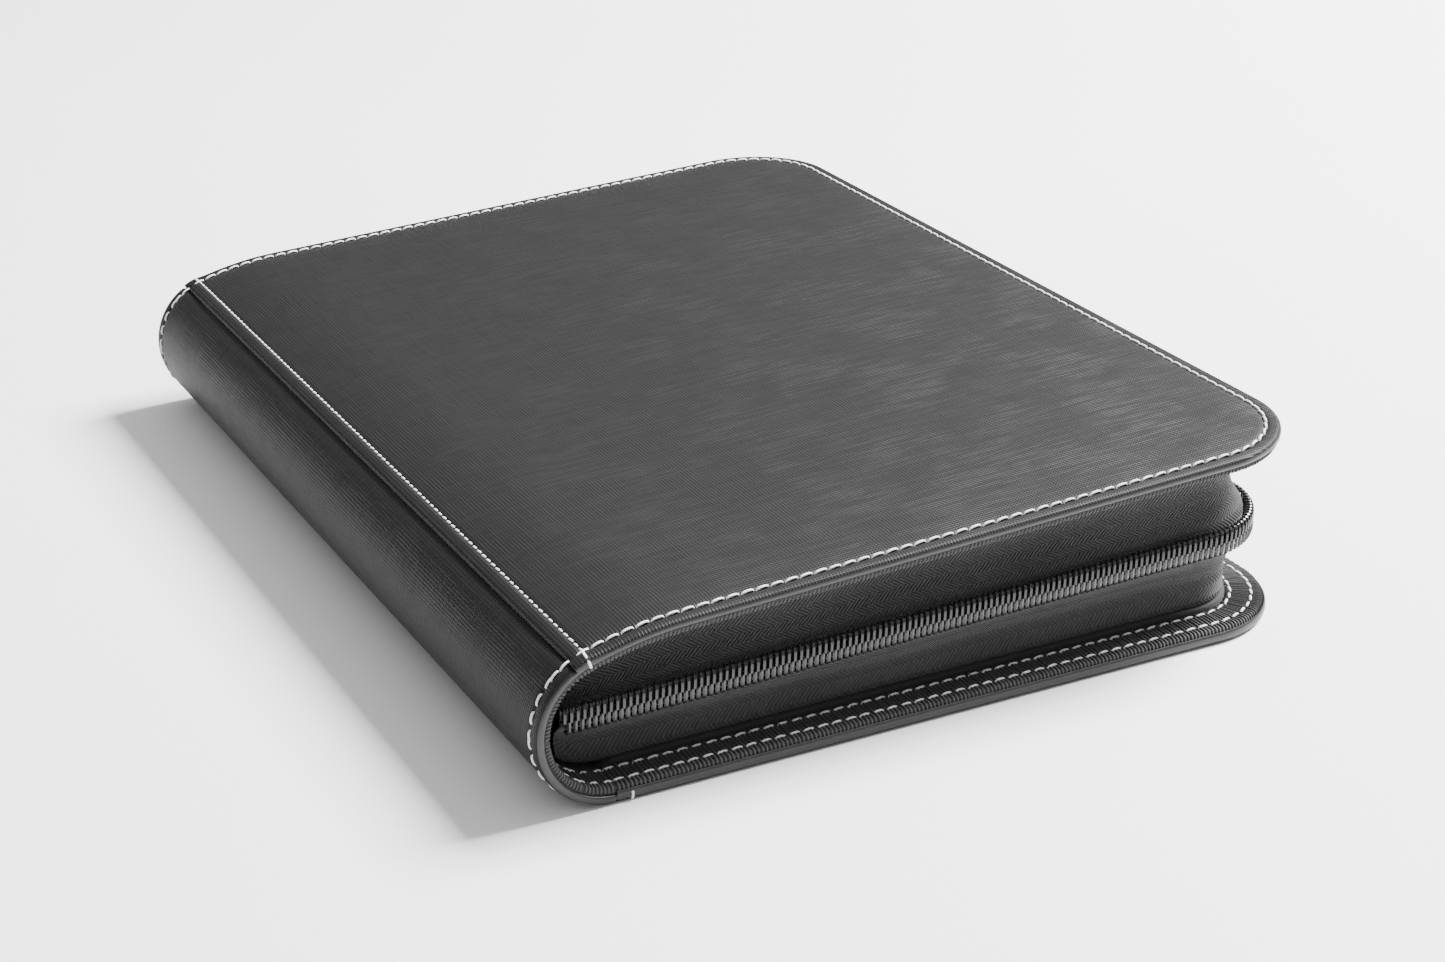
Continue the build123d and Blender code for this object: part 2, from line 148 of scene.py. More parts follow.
class Nodes:
    """Builds one material's node tree round a Principled shader.

    Args:
        name: the material's name.
    """

    def __init__(self, name: str) -> None:
        """Starts a material that holds only its shader and output.

        Args:
            name: the material's name.
        """
        self.material = bpy.data.materials.new(name)
        self.material.use_nodes = True
        self.tree = self.material.node_tree
        self.shader = self.tree.nodes["Principled BSDF"]

    def add(self, kind: str, settings: dict[str, Any], values: dict[Any, Any], output: Any = 0) -> Sum:
        """Adds one node.

        Args:
            kind: the node's type.
            settings: its properties, which are set first.
            values: numbers, colours or Sums for its input sockets, by name or index.
            output: the name or index of the output to return.

        Returns:
            The chosen output as a Sum.
        """
        node = self.tree.nodes.new(kind)
        for key, value in settings.items():
            setattr(node, key, value)
        for key, value in values.items():
            self.put(node.inputs[key], value)
        return Sum(self, node.outputs[output])

    def put(self, socket: Any, value: Any) -> None:
        """Links a Sum to an input socket, or sets the socket's plain value.

        Args:
            socket: the input socket.
            value: a Sum, a number or a colour.
        """
        if isinstance(value, Sum):
            self.tree.links.new(value.socket, socket)
        else:
            socket.default_value = value

    def place(self) -> tuple[Sum, Sum, Sum, Sum]:
        """Reads a point's place in the shell.

        Returns:
            The place as a vector, then millimetres along the section, along the spine, and in depth.
        """
        mark = self.add("ShaderNodeAttribute", {"attribute_name": MARK}, {}, "Vector")
        split = self.add("ShaderNodeSeparateXYZ", {}, {0: mark})
        node = split.socket.node
        return mark, Sum(self, node.outputs[0]), Sum(self, node.outputs[1]), Sum(self, node.outputs[2])

    def object_mm(self) -> Sum:
        """The point's place in millimetres, in the frame that the binder rests in."""
        place = self.add("ShaderNodeTexCoord", {}, {}, "Object")
        return self.add("ShaderNodeVectorMath", {"operation": "SCALE"}, {0: place, "Scale": 1000.0})

    def vector(self, x: Any, y: Any, z: Any = 0.0) -> Sum:
        """Joins three values into a vector."""
        return self.add("ShaderNodeCombineXYZ", {}, {0: x, 1: y, 2: z})

    def noise(self, at: Sum, scale: float, detail: float = 2.0, roughness: float = 0.5) -> Sum:
        """Fractal noise from 0 to 1 at a place."""
        values = {"Vector": at, "Scale": scale, "Detail": detail, "Roughness": roughness}
        return self.add("ShaderNodeTexNoise", {"noise_dimensions": "3D"}, values)

    def blend(self, share: Any, dark: Sequence[float], light: Sequence[float]) -> Sum:
        """Mixes two colours.

        Args:
            share: how much of the light colour, from 0 to 1.
            dark: the colour at 0.
            light: the colour at 1.

        Returns:
            The mixed colour.
        """
        node = self.tree.nodes.new("ShaderNodeMix")
        node.data_type = "RGBA"
        self.put(node.inputs["Factor"], share)
        inputs = [s for s in node.inputs if s.type == "RGBA"]
        inputs[0].default_value, inputs[1].default_value = (*dark, 1.0), (*light, 1.0)
        return Sum(self, [s for s in node.outputs if s.type == "RGBA"][0])

    def bump(self, height: Any, distance: float, strength: float = 1.0) -> Sum:
        """Turns a height from 0 to 1 into a normal.

        Args:
            height: the height.
            distance: how high 1 stands, in millimetres.
            strength: how much of it shows.

        Returns:
            The normal.
        """
        return self.add(
            "ShaderNodeBump", {}, {"Height": height, "Distance": distance * MM, "Strength": strength}
        )

    def done(self, **values: Any) -> bpy.types.Material:
        """Sets the shader's sockets.

        Args:
            values: a number or Sum for each socket, its name in small letters with underscores.

        Returns:
            The material.
        """
        for key, value in values.items():
            self.put(self.shader.inputs[key.replace("_", " ").title().replace("Ior", "IOR")], value)
        return self.material


@dataclass(frozen=True)
class LinenLeather:
    """Black leatherette embossed with the broken cross threads of linen."""

    colour: tuple[float, float, float] = (0.003, 0.003, 0.0032)
    # colour on the emboss's ridges and rubbed patches; the darker colour in the gaps between ridges is
    # painted shade
    lit_ridge_and_wear: tuple[float, float, float] = (0.0125, 0.0125, 0.0131)
    roughness: float = 0.48
    pitch: float = 0.78  # thread to thread
    run: float = 15.0  # length of a thread before it fades
    depth: float = 0.11

    def _threads(self, n: Nodes, over: Sum, down: Sum, seed: float) -> Sum:
        """Parallel threads that wander, swell and fade, from 0 to 1.

        Args:
            n: the material's nodes.
            over: millimetres across the threads.
            down: millimetres down them.
            seed: sets one family of threads apart from the other.

        Returns:
            The height of the threads.
        """
        wander = n.noise(n.vector(over * 0.25, down * 0.03, seed), 1.0, 2.0) * 1.8
        wave = ((over * (2 * math.pi / self.pitch) + wander).wave() * 0.5 + 0.5) ** 1.5
        strength = n.noise(n.vector(over / (1.6 * self.pitch), down / self.run, seed + 5.0), 1.0, 1.5, 0.6)
        return wave * (0.5 + 0.5 * strength.ramp(0.36, 0.62))

    def build(self) -> bpy.types.Material:
        """Builds the leatherette.

        Returns:
            The material.
        """
        n = Nodes("linen_leather")
        mark, along, across, _ = n.place()
        patch = n.noise(mark, 0.05, 2.0, 0.55).ramp(0.38, 0.62)
        lengthwise = self._threads(n, along, across, 3.0) * (0.75 + 0.25 * patch)
        crosswise = self._threads(n, across, along, 31.0) * (1.0 - 0.3 * patch)
        ridges = lengthwise.most(crosswise)
        grain = n.noise(mark, 3.2, 2.0, 0.6)
        rub = n.noise(mark, 0.14, 3.0, 0.6).ramp(0.35, 0.75)
        # Base colour: the ridges lighter than the gaps between them is painted shade in the emboss's hollows;
        # the rub patches are random wear.
        return n.done(
            base_color=n.blend(ridges * 0.85 + rub * 0.08, self.colour, self.lit_ridge_and_wear),
            roughness=self.roughness + 0.12 * (1.0 - ridges) + 0.03 * (rub - 0.5),
            specular_ior_level=0.18,
            normal=n.bump(ridges * 0.85 + grain * 0.2, self.depth),
        )


@dataclass(frozen=True)
class EdgePaint:
    """Smooth black paint on the leatherette's cut edge."""

    colour: tuple[float, float, float] = (0.006, 0.006, 0.0065)
    light: tuple[float, float, float] = (0.012, 0.012, 0.0125)
    roughness: float = 0.3

    def build(self) -> bpy.types.Material:
        """Builds the edge paint.

        Returns:
            The material.
        """
        n = Nodes("edge_paint")
        place = n.object_mm()
        flow = n.noise(place, 0.5, 3.0, 0.6)
        return n.done(
            base_color=n.blend(flow, self.colour, self.light),
            roughness=self.roughness + 0.22 * flow,
            normal=n.bump(n.noise(place, 1.1, 2.0), 0.05),
        )


@dataclass(frozen=True)
class PlainWeave:
    """Woven cloth whose threads follow the shell.

    Args:
        name: the material's name.
        dark: colour between the threads.
        light: colour on the threads.
        pitch: thread to thread.
        twill: 1 for a herringbone that turns each band, 0 for a plain weave.
        band: width of a herringbone's band.
        roughness: its middle value.
        sheen: how much the fuzz catches the light.
        relief: height of the threads.
    """

    name: str
    dark: tuple[float, float, float]
    light: tuple[float, float, float]
    pitch: float = 0.5
    twill: float = 0.0
    band: float = 3.0
    roughness: float = 0.8
    sheen: float = 0.15
    relief: float = 0.09

    def build(self) -> bpy.types.Material:
        """Builds the cloth.

        Returns:
            The material.
        """
        n = Nodes(self.name)
        mark, along, across, _ = n.place()
        turn = 2 * math.pi / self.pitch
        if self.twill:
            bands = n.add("ShaderNodeMath", {"operation": "PINGPONG"}, {0: across, 1: self.band})
            weave = ((along + bands * 1.0) * turn).wave() * 0.5 + 0.5
        else:
            warp = (along * turn).wave() * 0.5 + 0.5
            weft = (across * turn).wave() * 0.5 + 0.5
            weave = (warp * weft).most((1.0 - warp) * (1.0 - weft))
        fuzz = n.noise(mark, 1.7, 3.0, 0.6)
        shade = n.noise(mark, 0.07, 3.0, 0.6)
        return n.done(
            base_color=n.blend(weave * 0.6 + fuzz * 0.25 + shade * 0.2, self.dark, self.light),
            roughness=self.roughness + 0.12 * (fuzz - 0.5),
            sheen_weight=self.sheen,
            sheen_roughness=0.4,
            normal=n.bump(weave * 0.8 + fuzz * 0.3, self.relief),
        )


@dataclass(frozen=True)
class Grainy:
    """A finish for thread, teeth, board and metal: two shades of one colour, with fine grain.

    Args:
        name: the material's name.
        dark: the darker shade.
        light: the lighter shade.
        roughness: its middle value.
        spread: how much the roughness varies.
        grain: size of the grain.
        relief: height of the grain.
        metallic: 1 for bare metal.
        coat: how much clear coat lies over it.
    """

    name: str
    dark: tuple[float, float, float]
    light: tuple[float, float, float]
    roughness: float = 0.5
    spread: float = 0.15
    grain: float = 0.6
    relief: float = 0.02
    metallic: float = 0.0
    coat: float = 0.0

    def build(self) -> bpy.types.Material:
        """Builds the finish.

        Returns:
            The material.
        """
        n = Nodes(self.name)
        place = n.object_mm()
        fine = n.noise(place, 1.0 / self.grain, 3.0, 0.6)
        broad = n.noise(place, 0.08, 3.0, 0.6)
        return n.done(
            base_color=n.blend(fine * 0.6 + broad * 0.4, self.dark, self.light),
            roughness=self.roughness + self.spread * (fine - 0.5) + self.spread * (broad - 0.5),
            metallic=self.metallic,
            coat_weight=self.coat,
            normal=n.bump(fine, self.relief),
        )


@dataclass(frozen=True)
class ClearFilm:
    """Clear soft plastic film, faintly hazy, with handling marks."""

    tint: tuple[float, float, float] = (0.15, 0.155, 0.16)
    haze: tuple[float, float, float] = (0.2, 0.2, 0.205)
    roughness: float = 0.12

    def build(self) -> bpy.types.Material:
        """Builds the film.

        Returns:
            The material.
        """
        n = Nodes("clear_film")
        place = n.object_mm()
        marks = n.noise(place, 0.09, 4.0, 0.65).ramp(0.35, 0.7)
        return n.done(
            base_color=n.blend(marks, self.tint, self.haze),
            roughness=self.roughness + 0.06 * marks,
            alpha=0.12 + 0.02 * marks,
            ior=1.45,
            normal=n.bump(n.noise(place, 0.12, 2.0), 0.35),
        )


class Wardrobe:
    """Every finish of the binder, each built once."""

    def __init__(self) -> None:
        """Builds the materials."""
        black = (0.008, 0.008, 0.0085)
        self.leather = LinenLeather().build()
        self.edge = EdgePaint().build()
        self.lining = PlainWeave(
            "lining_cloth", (0.006, 0.006, 0.0065), (0.022, 0.022, 0.024), pitch=0.55
        ).build()
        self.binding = PlainWeave(
            "ribbed_binding", black, (0.022, 0.022, 0.023), pitch=0.45, relief=0.03
        ).build()
        # The ribs are the same tape as the band; their lighter copy of its cloth is painted light on the
        # ribs.
        self.rib = PlainWeave(
            "binding_rib", (0.012, 0.012, 0.0125), (0.075, 0.075, 0.078), pitch=0.5, relief=0.05
        ).build()
        self.tape = PlainWeave(
            "zip_tape_cloth", (0.0025, 0.0025, 0.0025), (0.026, 0.026, 0.0275),
            pitch=1.15, twill=1.0, band=2.8, relief=0.22,
        ).build()
        self.page = PlainWeave("page_cloth", (0.007, 0.007, 0.0075), (0.02, 0.02, 0.021), pitch=0.6).build()
        self.coil = Grainy(
            "zip_coil_nylon", (0.01, 0.01, 0.01), (0.026, 0.026, 0.027), roughness=0.2, spread=0.1
        ).build()
        self.thread = Grainy(
            "white_thread", (0.62, 0.62, 0.6), (0.9, 0.9, 0.88),
            roughness=0.6, spread=0.1, grain=0.25, relief=0.05,
        ).build()
        self.metal = Grainy(
            "black_enamelled_metal", (0.006, 0.006, 0.0065), (0.012, 0.012, 0.0125),
            roughness=0.36, spread=0.1, grain=0.3, relief=0.01, coat=0.25,
        ).build()
        self.board = Grainy(
            "grey_board", (0.16, 0.155, 0.145), (0.26, 0.25, 0.235), roughness=0.85, spread=0.1, grain=0.5
        ).build()
        self.strip = Grainy(
            "black_strip_board", (0.01, 0.01, 0.011), (0.022, 0.022, 0.023),
            roughness=0.6, spread=0.1, grain=0.5,
        ).build()
        self.film = ClearFilm().build()


# ---------------------------------------------------------------- shell geometry


@dataclass(frozen=True)
class Shell:
    """The closed binder's section, from one fore-edge round the spine to the other.

    "along" is measured on the outer face from where the spine's round begins: negative over the back
    cover, then round the spine, over the front cover's bend and up its flat part. "depth" goes inwards.
    """

    half_width: float = 100.0
    half_length: float = 130.0
    corner_radius: float = 26.0
    spine_radius: float = 18.0
    seam_angle: float = 162.0
    shoulder_radius: float = 88.0
    cover_tilt: float = 2.9

    @property
    def spine_x(self) -> float:
        """X of the centre of the spine's round."""
        return self.spine_radius - self.half_width

    @property
    def seam_along(self) -> float:
        """Where the round ends and the front cover's bend begins."""
        return self.spine_radius * math.radians(self.seam_angle)

    @property
    def bend_centre(self) -> tuple[float, float]:
        """Centre of the front cover's bend.

        Returns:
            The centre's X and Z.
        """
        reach = self.shoulder_radius - self.spine_radius
        slope = math.radians(180.0 - self.seam_angle)
        return self.spine_x + reach * math.sin(slope), self.spine_radius - reach * math.cos(slope)

    @property
    def flat_along(self) -> float:
        """Where the front cover's flat part begins."""
        return self.seam_along + self.shoulder_radius * math.radians(
            180.0 - self.seam_angle - self.cover_tilt
        )

    def spine_along(self, angle: float) -> float:
        """The place angle degrees round the spine."""
        return self.spine_radius * math.radians(angle)

    def section(self, along: np.ndarray, depth: np.ndarray) -> tuple[np.ndarray, np.ndarray]:
        """X and Z of points of the section.

        Args:
            along: places along the outer face.
            depth: distances in from it.

        Returns:
            Their X and their Z.
        """
        angle = np.clip(along, 0.0, self.seam_along) / self.spine_radius
        reach = self.spine_radius - depth
        x = self.spine_x - reach * np.sin(angle)
        z = self.spine_radius - reach * np.cos(angle)
        x = np.where(along < 0, self.spine_x - along, x)
        z = np.where(along < 0, depth, z)
        tilt = math.radians(self.cover_tilt)
        slope = math.radians(180.0 - self.seam_angle) - (along - self.seam_along) / self.shoulder_radius
        slope = np.clip(slope, tilt, None)
        run = np.clip(along - self.flat_along, 0.0, None)
        bend_x, bend_z = self.bend_centre
        reach = self.shoulder_radius - depth
        x = np.where(along > self.seam_along, bend_x - reach * np.sin(slope) + run * math.cos(tilt), x)
        z = np.where(along > self.seam_along, bend_z + reach * np.cos(slope) + run * math.sin(tilt), z)
        return x, z

    def place(self, along: np.ndarray, y: np.ndarray, depth: np.ndarray) -> np.ndarray:
        """Points of the shell, in millimetres.

        Args:
            along: place along the section, in millimetres.
            y: plan Y, in millimetres.
            depth: depth below the outer face.

        Returns:
            The points.
        """
        along, y, depth = np.broadcast_arrays(*(np.asarray(v, float) for v in (along, y, depth)))
        x, z = self.section(along, depth)
        return np.stack([x, y, z], -1)

    def outward(self, along: np.ndarray) -> np.ndarray:
        """Outward directions of the outer face."""
        along = np.asarray(along, float)
        return self.place(along, 0.0, -1.0) - self.place(along, 0.0, 0.0)

    def along_at(self, x: np.ndarray, side: Side) -> np.ndarray:
        """The place along the outer face of points of a cover.

        Args:
            x: their X.
            side: which cover.

        Returns:
            The places along.
        """
        x = np.asarray(x, float)
        if side is Side.BACK:
            return self.spine_x - x
        bend_x, _ = self.bend_centre
        tilt = math.radians(self.cover_tilt)
        seam_x = self.spine_x - self.spine_radius * math.sin(math.radians(self.seam_angle))
        flat_x = bend_x - self.shoulder_radius * math.sin(tilt)
        turned = math.pi - np.arcsin(np.clip((self.spine_x - x) / self.spine_radius, -1, 1))
        slope = np.arcsin(np.clip((bend_x - x) / self.shoulder_radius, -1, 1))
        bent = self.seam_along + self.shoulder_radius * (math.radians(180.0 - self.seam_angle) - slope)
        flat = self.flat_along + (x - flat_x) / math.cos(tilt)
        return np.where(x < seam_x, self.spine_radius * turned, np.where(x < flat_x, bent, flat))

    def inset_at(self, x: np.ndarray, y: np.ndarray) -> np.ndarray:
        """How far points of a cover's plan are in from its three free edges.

        Args:
            x: plan X, in millimetres.
            y: plan Y, in millimetres.

        Returns:
            The distances.
        """
        across, up = self.half_width - x, self.half_length - np.abs(y)
        corner = self.corner_radius - np.hypot(
            np.clip(self.corner_radius - across, 0, None), np.clip(self.corner_radius - up, 0, None)
        )
        inside = (across < self.corner_radius) & (up < self.corner_radius)
        return np.where(inside, corner, np.minimum(across, up))


@dataclass(frozen=True)
class Outline:
    """The three free edges of a cover, and the straight side by the spine.

    Args:
        shell: the binder's section.
        left: X of the side by the spine.
        step: spacing of the points along the free edges.
        side_step: spacing along the side by the spine.
    """

    shell: Shell
    left: float
    step: float = 0.7
    side_step: float = 0.75

    def free_edge(self, inset: float, left: float) -> np.ndarray:
        """Plan points of a line inset from the free edges, from the spine's near end round to its far end.

        Args:
            inset: distance in from the free edges.
            left: plan X of the line's two ends by the spine.

        Returns:
            The plan points.
        """
        s = self.shell
        turn_x, turn_y = s.half_width - s.corner_radius, s.half_length - s.corner_radius
        count = int((turn_x - self.left - 4.0) / self.step)
        ease = np.concatenate(
            [[0, 0.2, 0.45, 0.8, 1.3, 1.9, 2.6, 3.3], np.linspace(4.0, turn_x - self.left, count)]
        )
        x = left + ease * (turn_x - left) / (turn_x - self.left)
        radius = s.corner_radius - inset
        arc = np.linspace(-math.pi / 2, 0, int(s.corner_radius * math.pi / 2 / self.step))[1:]
        near = np.stack([x, np.full_like(x, -(s.half_length - inset))], 1)
        corner = np.stack([turn_x + radius * np.cos(arc), -turn_y + radius * np.sin(arc)], 1)
        y = np.linspace(-turn_y, turn_y, int(2 * turn_y / self.step))[1:-1]
        fore = np.stack([np.full_like(y, s.half_width - inset), y], 1)
        half = np.concatenate([near, corner])
        return np.concatenate([half, fore, half[::-1] * (1, -1)])

    def loop(self, inset: float, offset: float) -> np.ndarray:
        """A closed plan line: inset from the free edges and offset from the side by the spine.

        Args:
            inset: distance in from the free edges.
            offset: distance from the side by the spine.

        Returns:
            The plan points.
        """
        edge = self.free_edge(inset, self.left + offset)
        reach = self.shell.half_length - inset
        y = np.linspace(reach, -reach, int(2 * self.shell.half_length / self.side_step))[1:-1]
        side = np.stack([np.full_like(y, self.left + offset), y], 1)
        return np.concatenate([edge, side])


class Skin:
    """A mesh in the making: points in millimetres with their places in the shell, and faces."""

    def __init__(self) -> None:
        """Starts empty."""
        self.points: list[np.ndarray] = []
        self.marks: list[np.ndarray] = []
        self.faces: list[tuple[Sequence[int], int]] = []
        self.count = 0

    def add(self, points: np.ndarray, marks: np.ndarray) -> np.ndarray:
        """Adds points.

        Args:
            points: their places, in an array of any shape that ends in 3.
            marks: their marks, in the same shape.

        Returns:
            Their numbers, in the same shape without its last size.
        """
        shape = points.shape[:-1]
        points = points.reshape(-1, 3)
        self.points.append(points)
        self.marks.append(np.broadcast_to(marks, (*shape, 3)).reshape(-1, 3))
        numbers = np.arange(self.count, self.count + len(points)).reshape(shape)
        self.count += len(points)
        return numbers

    def quads(self, rows: np.ndarray, closed: bool = False, finish: int = 0) -> None:
        """Joins neighbouring points of a grid.

        Args:
            rows: the points' numbers, in rows.
            closed: whether each row closes on itself.
            finish: which of the piece's finishes the faces have.
        """
        if closed:
            rows = np.concatenate([rows, rows[:, :1]], 1)
        a, b, c, d = rows[:-1, :-1], rows[:-1, 1:], rows[1:, 1:], rows[1:, :-1]
        for quad in np.stack([a, b, c, d], -1).reshape(-1, 4).tolist():
            self.faces.append((quad, finish))

    def polygon(self, numbers: Sequence[int], finish: int = 0) -> None:
        """Adds one face."""
        self.faces.append((list(numbers), finish))

    def build(self, name: str, *finishes: bpy.types.Material, sharp: float = 50.0) -> bpy.types.Object:
        """Makes the piece.

        Args:
            name: its name.
            finishes: its materials.
            sharp: the angle between faces above which an edge is crisp, in degrees.

        Returns:
            The piece, in the scene, at the origin.
        """
        mesh = bpy.data.meshes.new(name)
        points = np.concatenate(self.points) * MM
        mesh.from_pydata(points.tolist(), [], [f for f, _ in self.faces])
        mark = mesh.attributes.new(MARK, "FLOAT_VECTOR", "POINT")
        mark.data.foreach_set("vector", np.concatenate(self.marks).astype(np.float32).ravel())
        for finish in finishes:
            mesh.materials.append(finish)
        mesh.polygons.foreach_set("material_index", [slot for _, slot in self.faces])
        work = bmesh.new()
        work.from_mesh(mesh)
        bmesh.ops.remove_doubles(work, verts=work.verts, dist=2e-6)
        bmesh.ops.dissolve_degenerate(work, edges=work.edges, dist=1e-7)
        bmesh.ops.recalc_face_normals(work, faces=work.faces)
        work.to_mesh(mesh)
        work.free()
        mesh.polygons.foreach_set("use_smooth", [True] * len(mesh.polygons))
        mesh.set_sharp_from_angle(angle=math.radians(sharp))
        piece = bpy.data.objects.new(name, mesh)
        bpy.context.scene.collection.objects.link(piece)
        return piece


def fill_plan(loop: np.ndarray, inner: np.ndarray) -> tuple[np.ndarray, list[list[int]]]:
    """Triangulates the inside of a closed plan line.

    Args:
        loop: the line's points.
        inner: points inside it.

    Returns:
        The plan points, and the triangles.
    """
    points = [Vector(p) for p in np.concatenate([loop, inner]).tolist()]
    count = len(loop)
    edges = [(i, (i + 1) % count) for i in range(count)]
    made = delaunay_2d_cdt(points, edges, [], 1, 1e-5)
    return np.array([tuple(v) for v in made[0]]), [list(f) for f in made[2]]


def bell(value: np.ndarray, width: float) -> np.ndarray:
    """A bell curve, 1 at 0."""
    return np.exp(-((value / width) ** 2))


# ---------------------------------------------------------------- things that repeat along a line


class Repeater:
    """A Geometry Nodes tree that sets a small shape at even steps along a line and makes it real.

    The line's points carry two directions, "along" and "up". The shape's X turns to the first and its Z
    to the second.
    """

    def __init__(self) -> None:
        """Builds the tree."""
        self.tree = bpy.data.node_groups.new("repeat_along_line", "GeometryNodeTree")
        face = self.tree.interface
        names = (
            ("Line", "NodeSocketGeometry"), ("Shape", "NodeSocketObject"), ("Pitch", "NodeSocketFloat"),
            ("Unevenness", "NodeSocketFloat"), ("Seed", "NodeSocketInt"), ("Finish", "NodeSocketMaterial"),
        )
        self.sockets = {n: face.new_socket(n, in_out="INPUT", socket_type=k).identifier for n, k in names}
        face.new_socket("Pieces", in_out="OUTPUT", socket_type="NodeSocketGeometry")
        source, sink = self._node("NodeGroupInput"), self._node("NodeGroupOutput")
        line = self._node("GeometryNodeMeshToCurve", links={0: source.outputs["Line"]})
        steps = self._node(
            "GeometryNodeResampleCurve", {"mode": "LENGTH"},
            {"Curve": line.outputs[0], "Length": source.outputs["Pitch"]},
        )
        along = self._node(
            "GeometryNodeInputNamedAttribute", {"data_type": "FLOAT_VECTOR"}, values={"Name": "along"}
        )
        up = self._node(
            "GeometryNodeInputNamedAttribute", {"data_type": "FLOAT_VECTOR"}, values={"Name": "up"}
        )
        first = self._node(
            "FunctionNodeAlignRotationToVector", {"axis": "X"}, {"Vector": along.outputs["Attribute"]}
        )
        second = self._node(
            "FunctionNodeAlignRotationToVector", {"axis": "Z", "pivot_axis": "X"},
            {"Rotation": first.outputs[0], "Vector": up.outputs["Attribute"]},
        )
        shape = self._node("GeometryNodeObjectInfo", links={"Object": source.outputs["Shape"]})
        chance = self._node(
            "FunctionNodeRandomValue", {"data_type": "FLOAT"}, {"Seed": source.outputs["Seed"]}
        )
        chance.inputs["Min"].default_value, chance.inputs["Max"].default_value = -1.0, 1.0
        uneven = self._node(
            "ShaderNodeMath", {"operation": "MULTIPLY"},
            {0: chance.outputs["Value"], 1: source.outputs["Unevenness"]},
        )
        size = self._node("ShaderNodeMath", {"operation": "ADD"}, {0: uneven.outputs[0]}, {1: 1.0})
        twist = self._node("ShaderNodeCombineXYZ", links={2: uneven.outputs[0]})
        turned = self._node(
            "FunctionNodeRotateRotation", {"rotation_space": "LOCAL"}, {"Rotation": second.outputs[0]}
        )
        self.tree.links.new(twist.outputs[0], turned.inputs["Rotate By"])
        spread = self._node(
            "GeometryNodeInstanceOnPoints",
            links={
                "Points": steps.outputs[0], "Instance": shape.outputs["Geometry"],
                "Rotation": turned.outputs[0], "Scale": size.outputs[0],
            },
        )
        real = self._node("GeometryNodeRealizeInstances", links={0: spread.outputs[0]})
        dressed = self._node(
            "GeometryNodeSetMaterial",
            links={"Geometry": real.outputs[0], "Material": source.outputs["Finish"]},
        )
        self.tree.links.new(dressed.outputs[0], sink.inputs[0])

    def _node(
        self,
        kind: str,
        settings: dict[str, Any] | None = None,
        links: dict[Any, Any] | None = None,
        values: dict[Any, Any] | None = None,
    ) -> bpy.types.Node:
        """Adds a node with its settings, links and values.

        Args:
            kind: the node's type.
            settings: its properties.
            links: its linked sockets.
            values: its plain values.

        Returns:
            The node.
        """
        node = self.tree.nodes.new(kind)
        for key, value in (settings or {}).items():
            setattr(node, key, value)
        for key, value in (values or {}).items():
            node.inputs[key].default_value = value
        for key, socket in (links or {}).items():
            self.tree.links.new(socket, node.inputs[key])
        return node

    def run(
        self,
        name: str,
        lines: Sequence[tuple[np.ndarray, np.ndarray, np.ndarray]],
        shape: bpy.types.Object,
        pitch: float,
        finish: bpy.types.Material,
        unevenness: float = 0.0,
        seed: int = 1,
    ) -> bpy.types.Object:
        """Repeats a shape along lines and returns one plain piece.

        Args:
            name: the piece's name.
            lines: for each line its points in millimetres, its "along" directions and its "up" directions.
            shape: the small shape, which is removed afterwards.
            pitch: from one to the next, in millimetres.
            finish: the material.
            unevenness: how much size and heading vary.
            seed: for the unevenness.

        Returns:
            The piece, in the scene, at the origin.
        """
        mesh = bpy.data.meshes.new(name)
        points, edges, alongs, ups = [], [], [], []
        for path, along, up in lines:
            start = len(points)
            points += (np.asarray(path) * MM).tolist()
            alongs.append(np.broadcast_to(along, path.shape))
            ups.append(np.broadcast_to(up, path.shape))
            edges += [(start + i, start + i + 1) for i in range(len(path) - 1)]
        mesh.from_pydata(points, edges, [])
        for key, data in (("along", alongs), ("up", ups)):
            attribute = mesh.attributes.new(key, "FLOAT_VECTOR", "POINT")
            attribute.data.foreach_set("vector", np.concatenate(data).astype(np.float32).ravel())
        carrier = bpy.data.objects.new(name + "_line", mesh)
        bpy.context.scene.collection.objects.link(carrier)
        modifier = carrier.modifiers.new("repeat", "NODES")
        modifier.node_group = self.tree
        values = {
            "Shape": shape, "Pitch": pitch * MM, "Unevenness": unevenness, "Seed": seed, "Finish": finish
        }
        for key, value in values.items():
            modifier[self.sockets[key]] = value
        bpy.context.view_layer.update()
        graph = bpy.context.evaluated_depsgraph_get()
        made = bpy.data.meshes.new_from_object(carrier.evaluated_get(graph))
        made.name = name
        bpy.data.objects.remove(carrier)
        bpy.data.objects.remove(shape)
        made.polygons.foreach_set("use_smooth", [True] * len(made.polygons))
        piece = bpy.data.objects.new(name, made)
        bpy.context.scene.collection.objects.link(piece)
        return piece


def tube(
    name: str,
    path: Sequence[Sequence[float]],
    width: float,
    height: float,
    side: Sequence[float] = (0.0, 1.0, 0.0),
    sides: int = 6,
    taper: float = 0.55,
) -> bpy.types.Object:
    """A small capped tube with an oval section.

    Args:
        name: the object's name.
        path: points of its middle line, in millimetres.
        width: its size along side.
        height: its size the other way.
        side: a direction that the path never takes.
        sides: faces round it.
        taper: size of its two ends.

    Returns:
        The tube.
    """
    line = np.asarray(path, float)
    heading = np.gradient(line, axis=0)
    heading /= np.linalg.norm(heading, axis=1)[:, None]
    top = np.cross(heading, np.asarray(side, float))
    top /= np.linalg.norm(top, axis=1)[:, None]
    across = np.cross(top, heading)
    turn = np.linspace(0, 2 * math.pi, sides, endpoint=False)
    size = np.ones(len(line))
    size[[0, -1]] = taper
    ring = across[:, None] * np.cos(turn)[None, :, None] * width / 2
    ring = ring + top[:, None] * np.sin(turn)[None, :, None] * height / 2
    skin = Skin()
    rows = skin.add(line[:, None] + ring * size[:, None, None], np.zeros(3))
    skin.quads(rows, closed=True)
    skin.polygon(rows[0][::-1])
    skin.polygon(rows[-1])
    return skin.build(name)


# ---------------------------------------------------------------- covers


